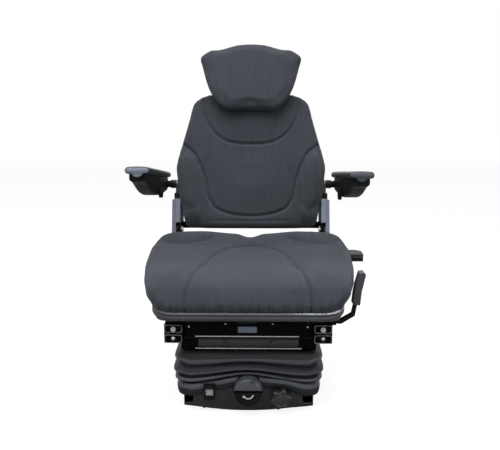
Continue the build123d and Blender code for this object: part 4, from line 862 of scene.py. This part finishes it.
def make_apron():
    """The plate under the bellows: it widens the front panel to the ends of the tray's channels."""
    obj = primitive("grid", "apron_plate", x_subdivisions=60, y_subdivisions=1, size=1.0)
    co = places(obj)
    across = -0.0010 + co[:, 0] * APRON_WIDTH
    low = 0.0035 + 0.0145 * np.abs(across / (APRON_WIDTH / 2)) ** 1.7
    high = np.where(np.abs(across + 0.003) < APRON_RAISED_HALF, 0.048, 0.0215)
    put(obj, columns(across, np.full(len(co), APRON_FRONT), np.where(co[:, 1] < 0, low, high)))
    add_modifier(obj, "Plate", "SOLIDIFY", thickness=0.0025, offset=0)
    round_edges(obj, 0.0006)
    finish_piece(obj, "base", "apron", "plastic_black")


LIP = (
    # drop below the rim, and how far the lip stands out
    (-0.0006, -0.0005), (-0.0010, 0.0020), (0.0005, 0.0042), (0.0030, 0.0052), (0.0055, 0.0046),
    (0.0070, 0.0036), (0.0085, 0.0046), (0.0110, 0.0054), (0.0150, 0.0052), (0.0175, 0.0038),
    (0.0185, 0.0016), (0.0185, -0.0004),
)
PAN_MIDDLE = -0.034
PAN_HALF = (0.232, 0.224)
PAN_CORNER = 0.052
PAN_SIDE_TOP = 0.270
# The rim's height at two depths: it rises behind the front edge
PAN_RIM = ((-0.258, -0.198), (0.2776, 0.2916))


def pan_width(y):
    """The pan is drawn in towards its front corners."""
    return np.interp(y, (-0.26, -0.20, -0.12, 0.0), (0.943, 0.943, 0.972, 1.0))


def make_pan():
    obj = node_copy("seat_pan", "pan_shell")
    co = places(obj)
    # The sides lean in below the lip
    inwards = 1 - 0.10 * ease(PAN_SIDE_TOP - co[:, 2], 0.0, 0.022)
    co[:, 0] *= pan_width(co[:, 1]) * inwards
    put(obj, co)
    finish_piece(obj, "seat", "black_paint", "plastic_black", "seat_pan")


def make_pan_lip():
    """The rolled edge that is pressed over the pan's rim, up to the rear corners."""
    obj, co, row = ring_wall("pan_lip", len(LIP), 360)
    turn = np.arctan2(co[:, 1], co[:, 0])
    straight = np.array((PAN_HALF[0] - PAN_CORNER, PAN_HALF[1] - PAN_CORNER))
    # The pan's outline by its length: four straights and four quarter rounds
    outline = []
    for turned, (sx, sy) in enumerate(((1, 1), (-1, 1), (-1, -1), (1, -1))):
        for t in np.linspace(0, math.pi / 2, 24, endpoint=True):
            nx, ny = math.cos(turned * math.pi / 2 + t), math.sin(turned * math.pi / 2 + t)
            outline.append((sx * straight[0] + PAN_CORNER * nx, sy * straight[1] + PAN_CORNER * ny, nx, ny))
    outline = np.array(outline + outline[:1])
    length = np.concatenate([[0], np.cumsum(np.linalg.norm(np.diff(outline[:, :2], axis=0), axis=1))])
    share = ((turn / TURN) % 1) * length[-1]
    px, py, nx, ny = (np.interp(share, length, outline[:, k]) for k in range(4))
    rim = np.interp(py + PAN_MIDDLE, *PAN_RIM)
    px *= pan_width(py + PAN_MIDDLE)
    drop, out = np.array(LIP)[row].T
    put(obj, columns(px + nx * out, py + ny * out + PAN_MIDDLE, rim - drop - 0.0015))
    face_outwards(obj)
    add_modifier(obj, "Wall", "SOLIDIFY", thickness=0.0008, offset=-1)
    apply_modifiers(obj)
    bpy.ops.object.shade_smooth()
    finish_piece(obj, "seat", "pan_lip", "plastic_black")


def open_frame(name, middle, half_out, half_in, front, back, power):
    """A square ring that faces forwards: a bezel, or the open end of a folded rail."""
    rows = ((back, half_out), (front, half_out), (front, half_in), (back, half_in))
    obj, co, row = ring_wall(name, len(rows), 64)
    turn = np.arctan2(co[:, 1], co[:, 0])
    placed = co.copy()
    for number, (y, half) in enumerate(rows):
        chosen = row == number
        px, pz = square_ring(turn[chosen], half[0], half[1], power)
        placed[chosen] = columns(middle[0] + px, np.full(len(px), y), middle[1] + pz)
    put(obj, placed)
    face_outwards(obj)
    round_edges(obj, 0.0004)
    return obj


RAIL_MIDDLE = 0.1755
RAIL_HALF = 0.0205
RAIL_SHEET = 0.0015
# body, middle height, half height, front: the rails' open ends
RAIL_ENDS = {"lower": ("upper_frame", 0.1998, 0.0100, -0.2190), "upper": ("seat", 0.2235, 0.0095, -0.2162)}
BAR_HEIGHTS = (0.15745, 0.18655)
BAR_SHARE = 0.55
BOLT_SPOTS = np.array((-0.1755, -0.135, -0.052, 0.052, 0.135, 0.1755))
BOLT_SHARE = 0.6
PLATE_RISE = 0.010


def make_window_bezel():
    x, z = WINDOW[:2]
    bezel = open_frame("window_bezel", (x, z + 0.0005), (0.0135, 0.0190), (0.0098, 0.0150),
                       -0.1905, -0.1825, 9.0)
    finish_piece(bezel, "base", "plastic_black", "plastic_black")


def make_bright_bars():
    """The two cross bars, thinner than the CAD's, and the seat frame's bright lower edge."""
    bars = node_copy("front_bars", "front_bars_shown")
    co = places(bars)
    middle = np.where(co[:, 2] > sum(BAR_HEIGHTS) / 2, BAR_HEIGHTS[1], BAR_HEIGHTS[0])
    co[:, 2] = middle + BAR_SHARE * (co[:, 2] - middle)
    put(bars, co)
    finish_piece(bars, "upper_frame", "zinc", "zinc", "front_bars")
    edge = primitive("cube", "frame_lower_edge", size=1.0)
    put(edge, places(edge) * np.array((0.247, 0.0022, 0.0024)) + np.array((-0.003, -0.1960, 0.1985)))
    round_edges(edge, 0.0006)
    finish_piece(edge, "seat", "zinc", "zinc")


def make_frame_face():
    """The seat frame's bolts, the inner ones smaller, and the bare plate between them."""
    bolts = node_copy("seat_frame_bolts", "frame_bolts")
    co = places(bolts)
    nearest = np.abs(co[:, 0, None] - BOLT_SPOTS).argmin(axis=1)
    for number, spot in enumerate(BOLT_SPOTS):
        chosen = nearest == number
        if chosen.any() and abs(spot) < RAIL_MIDDLE - RAIL_HALF:
            middle = (co[chosen].min(axis=0) + co[chosen].max(axis=0)) / 2
            middle[1] = co[chosen, 1].max()
            co[chosen] = middle + BOLT_SHARE * (co[chosen] - middle)
    put(bolts, co)
    finish_piece(bolts, "seat", "zinc", "zinc", "seat_frame_bolts")
    plate = node_copy("blank_plate", "bare_plate")
    put(plate, places(plate) + np.array((0, 0, PLATE_RISE)))
    finish_piece(plate, "seat", "blank_plate", "plastic_mid", "blank_plate")


def make_rail_ends():
    for side, name in SIDES:
        for which, (body, z, tall, front) in RAIL_ENDS.items():
            ring = open_frame(f"{which}_rail_end_{name}", (side * RAIL_MIDDLE, z), (RAIL_HALF, tall),
                              (RAIL_HALF - RAIL_SHEET, tall - 0.0014), front, front + 0.003, 8.0)
            finish_piece(ring, body, "worn_edge", "black_paint")
        bolt = primitive("uv_sphere", f"lower_rail_bolt_{name}", segments=24, ring_count=12, radius=0.0048)
        put(bolt, places(bolt) * np.array((1, 0.6, 1)) + np.array((side * RAIL_MIDDLE, -0.2175, 0.2010)))
        bpy.ops.object.shade_smooth()
        finish_piece(bolt, "upper_frame", "zinc", "zinc")


STAR = (
    # from the back to the front: distance forward, share of the radius
    (0.1720, 0.40), (0.1880, 0.40), (0.1890, 0.75), (0.1905, 0.93), (0.1930, 1.00), (0.2060, 1.00),
    (0.2085, 0.97), (0.2100, 0.90), (0.2106, 0.80), (0.2107, 0.52), (0.2098, 0.50), (0.2098, 0.48),
    (0.2106, 0.46), (0.2106, 0.30), (0.2106, 0.02),
)
STAR_RADIUS = 0.0268
STAR_POINTS = 6
STAR_TURNED = math.radians(12)
STAR_HOLLOW = 0.27


def make_star_knob():
    """The knob's points stand between hollowed sides, and a round cap is set in its face."""
    obj, co, row = ring_wall("star_knob_shown", len(STAR), 168)
    low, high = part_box("star_knob")
    centre = (low + high) / 2
    turn = np.arctan2(co[:, 1], co[:, 0])
    ahead, share = np.array(STAR)[row].T
    point = ((1 + np.cos(STAR_POINTS * (turn - STAR_TURNED))) / 2) ** 1.25
    reach = STAR_RADIUS * share * (1 - STAR_HOLLOW * ease(share, 0.55, 0.80) * (1 - point))
    put(obj, columns(centre.x + reach * np.cos(turn), -ahead, centre.z + reach * np.sin(turn)))
    face_outwards(obj)
    bpy.ops.object.shade_smooth()
    finish_piece(obj, "star_knob", "knob", "plastic_black", "star_knob")


def make_recliner_covers():
    """The covers bulge outwards, with a dark rim and a black cap that reaches up to the holder."""
    for side, name in SIDES:
        obj = node_copy(f"recliner_cover_{name}", f"recliner_cover_shown_{name}")
        co = places(obj)
        low, high = co[:, 2].min(), co[:, 2].max()
        outer = ease(side * co[:, 0], 0.222, 0.240)
        co[:, 0] += side * outer * 0.005 * bell(co[:, 2], (low + high) / 2 + 0.01, 0.055)
        co[:, 2] += 0.007 * ease(co[:, 2], high - 0.03, high)
        put(obj, co)
        obj.data.materials.clear()
        for kind in ("plastic_grey", "plastic_black"):
            obj.data.materials.append(finishes[kind])
        for face in obj.data.polygons:
            ahead = face.normal.y < -0.55
            face.material_index = int(not ahead or face.center.z > high - 0.008)
        ride_on(obj, "back", "plastic_grey", f"recliner_cover_{name}")


# The crank's mark: an arc about the hub, with its head at the left end
MARK_START = math.radians(200)
MARK_SPAN = math.radians(145)
MARK_RADIUS = 0.0125


def finish_mark(obj, body):
    add_modifier(obj, "Sheet", "SOLIDIFY", thickness=0.0004, offset=0)
    finish_piece(obj, body, "white_mark", "plastic_mid")
    apply_modifiers(obj)


def make_crank_mark():
    low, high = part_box("crank_hub")
    centre = (low + high) / 2
    obj = primitive("grid", "crank_mark", x_subdivisions=32, y_subdivisions=2, size=1.0)
    co = places(obj)
    along = co[:, 0] + 0.5
    turn = MARK_START + along * MARK_SPAN
    half_width = 0.0014 * (1 - ease(-along, -0.08, 0.0) * 0.9) + 0.0022 * bell(along, 0.10, 0.045)
    reach = MARK_RADIUS + co[:, 1] * 2 * half_width
    put(obj, columns(centre.x + reach * np.cos(turn), np.full(len(co), low.y - 0.0002),
                       centre.z - 0.001 + reach * np.sin(turn)))
    finish_mark(obj, "crank")


def make_slider_marks():
    """The weight slider's bright rim, and the white bar in it."""
    low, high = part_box("weight_indicator")
    x, z = (low.x + high.x) / 2, high.z - 0.003
    rim = open_frame("slider_rim", (x, z), (0.0108, 0.0082), (0.0072, 0.0036),
                     low.y - 0.0012, low.y + 0.001, 8.0)
    finish_piece(rim, "weight_indicator", "zinc", "zinc")
    obj = primitive("grid", "slider_mark", x_subdivisions=2, y_subdivisions=2, size=1.0)
    co = places(obj)
    put(obj, columns(x + co[:, 0] * 0.0135, np.full(len(co), low.y - 0.0002),
                       z + co[:, 1] * 0.0062))
    finish_mark(obj, "weight_indicator")


# The studio


LAMPS = (
    # name, place, size, power
    ("key", (-1.1, -1.5, 2.7), (1.8, 1.2), 25),
    ("fill", (1.6, -1.7, 1.5), (1.4, 1.4), 8),
    ("top", (0.0, -0.5, 2.6), (1.6, 1.6), 50),
    ("back", (0.3, 2.2, 1.9), (1.6, 1.0), 18),
)
LAMP_AIM = Vector((0, 0, 0.45))
CAMERA_PLACE = (0.022, -1.464, 0.677)
CAMERA_DOWN = math.radians(9.4)
CAMERA_TURNED = math.radians(0.8)
CAMERA_LENS = 40.25


def mix_shaders(tree, share, a, b, output):
    mix = tree.nodes.new("ShaderNodeMixShader")
    tree.links.new(share, mix.inputs[0])
    tree.links.new(a.outputs[0], mix.inputs[1])
    tree.links.new(b.outputs[0], mix.inputs[2])
    tree.links.new(mix.outputs[0], tree.nodes[output].inputs["Surface"])


def make_floor():
    """The camera sees a white floor, and the object gets less light thrown back from it."""
    floor = primitive("plane", "studio_floor", size=24)
    material, tree, shader = new_material("studio white")
    glow = tree.nodes.new("ShaderNodeEmission")
    seen = tree.nodes.new("ShaderNodeLightPath").outputs["Is Camera Ray"]
    feed(tree, glow, Strength=1.22)
    feed(tree, shader, Roughness=0.9, Base_Color=spread(tree, seen, 0, 1, 0.32, 0.9))
    mix_shaders(tree, sums(tree, "MULTIPLY", seen, 0.72), shader, glow, "Material Output")
    floor.data.materials.append(material)


def make_world(scene):
    world = bpy.data.worlds.new("soft studio")
    scene.world = world
    world.use_nodes = True
    tree = world.node_tree
    plain = tree.nodes["Background"]
    feed(tree, plain, Color=(0.92, 0.95, 1.0), Strength=0.32)
    white = tree.nodes.new("ShaderNodeBackground")
    feed(tree, white, Color=(1, 1, 1), Strength=1.0)
    path = tree.nodes.new("ShaderNodeLightPath")
    seen = sums(tree, "MAXIMUM", path.outputs["Is Camera Ray"], path.outputs["Is Glossy Ray"])
    seen = sums(tree, "MAXIMUM", seen, path.outputs["Is Transmission Ray"])
    mix_shaders(tree, seen, plain, white, "World Output")


def make_stage():
    scene = bpy.context.scene
    make_floor()
    make_world(scene)
    for name, place, size, power in LAMPS:
        data = bpy.data.lights.new(name, "AREA")
        data.shape = "RECTANGLE"
        data.size, data.size_y = size
        data.energy = power
        lamp = bpy.data.objects.new(name, data)
        scene.collection.objects.link(lamp)
        lamp.location = place
        lamp.rotation_euler = (LAMP_AIM - lamp.location).to_track_quat("-Z", "Y").to_euler()
    data = bpy.data.cameras.new("front")
    data.sensor_width = 36
    data.lens = CAMERA_LENS
    camera = bpy.data.objects.new("front", data)
    scene.collection.objects.link(camera)
    camera.location = CAMERA_PLACE
    camera.rotation_euler = Euler((math.pi / 2 - CAMERA_DOWN, 0, CAMERA_TURNED))
    scene.camera = camera
    scene.view_settings.view_transform = "Standard"


# The add-on's own parts


class SeatColours(bpy.types.PropertyGroup):
    """Colours that a user would change"""

    cloth_colour: bpy.props.FloatVectorProperty(
        name="Cloth", description="Colour of the cover cloth", subtype="COLOR", size=3,
        default=(0.0465, 0.0520, 0.0620), min=0, max=1,
    )
    rubber_colour: bpy.props.FloatVectorProperty(
        name="Rubber", description="Colour of the bellows", subtype="COLOR", size=3,
        default=(0.0145, 0.016, 0.0185), min=0, max=1,
    )


class SEAT_OT_finishes(bpy.types.Operator):
    """Make the finishes and dress the CAD nodes with them"""

    bl_idname = "seat.finishes"
    bl_label = "Finishes"

    def execute(self, context):
        build_finishes(context.scene.seat_colours)
        dress_nodes()
        return {"FINISHED"}


class SEAT_OT_seat_cushion(bpy.types.Operator):
    """Make the seat cushion's cover"""

    bl_idname = "seat.seat_cushion"
    bl_label = "Seat cushion"

    def execute(self, context):
        make_seat_cushion()
        return {"FINISHED"}


class SEAT_OT_back_cushion(bpy.types.Operator):
    """Make the back cushion's cover"""

    bl_idname = "seat.back_cushion"
    bl_label = "Back cushion"

    def execute(self, context):
        make_back_cushion()
        return {"FINISHED"}


class SEAT_OT_extension(bpy.types.Operator):
    """Make the cover of the backrest extension"""

    bl_idname = "seat.extension"
    bl_label = "Backrest extension"

    def execute(self, context):
        make_extension_pad()
        return {"FINISHED"}


class SEAT_OT_armrests(bpy.types.Operator):
    """Make the armrests' padded skins"""

    bl_idname = "seat.armrests"
    bl_label = "Armrest pads"

    def execute(self, context):
        make_armrest_pads()
        return {"FINISHED"}


class SEAT_OT_bellows(bpy.types.Operator):
    """Make the folded rubber skirt"""

    bl_idname = "seat.bellows"
    bl_label = "Bellows"

    def execute(self, context):
        make_bellows()
        return {"FINISHED"}


TRIM = (make_apron, make_pan, make_pan_lip, make_window_bezel, make_bright_bars, make_frame_face,
        make_rail_ends, make_star_knob, make_recliner_covers, make_crank_mark, make_slider_marks)


class SEAT_OT_trim(bpy.types.Operator):
    """Make the apron plate, the pan, the front's trim, the star knob, the covers and the marks"""

    bl_idname = "seat.trim"
    bl_label = "Trim"

    def execute(self, context):
        for make in TRIM:
            make()
        return {"FINISHED"}


class SEAT_OT_stage(bpy.types.Operator):
    """Make the floor, lights and camera"""

    bl_idname = "seat.stage"
    bl_label = "Stage"

    def execute(self, context):
        make_stage()
        return {"FINISHED"}


OPERATORS = (
    SEAT_OT_finishes, SEAT_OT_seat_cushion, SEAT_OT_back_cushion, SEAT_OT_extension,
    SEAT_OT_armrests, SEAT_OT_bellows, SEAT_OT_trim, SEAT_OT_stage,
)


class SEAT_PT_panel(bpy.types.Panel):
    """Lists the seat's pieces and colours"""

    bl_label = "Operator seat"
    bl_idname = "SEAT_PT_panel"
    bl_space_type = "VIEW_3D"
    bl_region_type = "UI"
    bl_category = "Seat"

    def draw(self, context):
        colours = context.scene.seat_colours
        for name in ("cloth_colour", "rubber_colour"):
            self.layout.prop(colours, name)
        for operator in OPERATORS:
            self.layout.operator(operator.bl_idname)


CLASSES = (SeatColours, *OPERATORS, SEAT_PT_panel)


def register():
    for cls in CLASSES:
        bpy.utils.register_class(cls)
    bpy.types.Scene.seat_colours = bpy.props.PointerProperty(type=SeatColours)


def unregister():
    del bpy.types.Scene.seat_colours
    for cls in reversed(CLASSES):
        bpy.utils.unregister_class(cls)


def main():
    register()
    for operator in OPERATORS:
        group, name = operator.bl_idname.split(".")
        getattr(getattr(bpy.ops, group), name)()


if __name__ == "__main__":
    main()
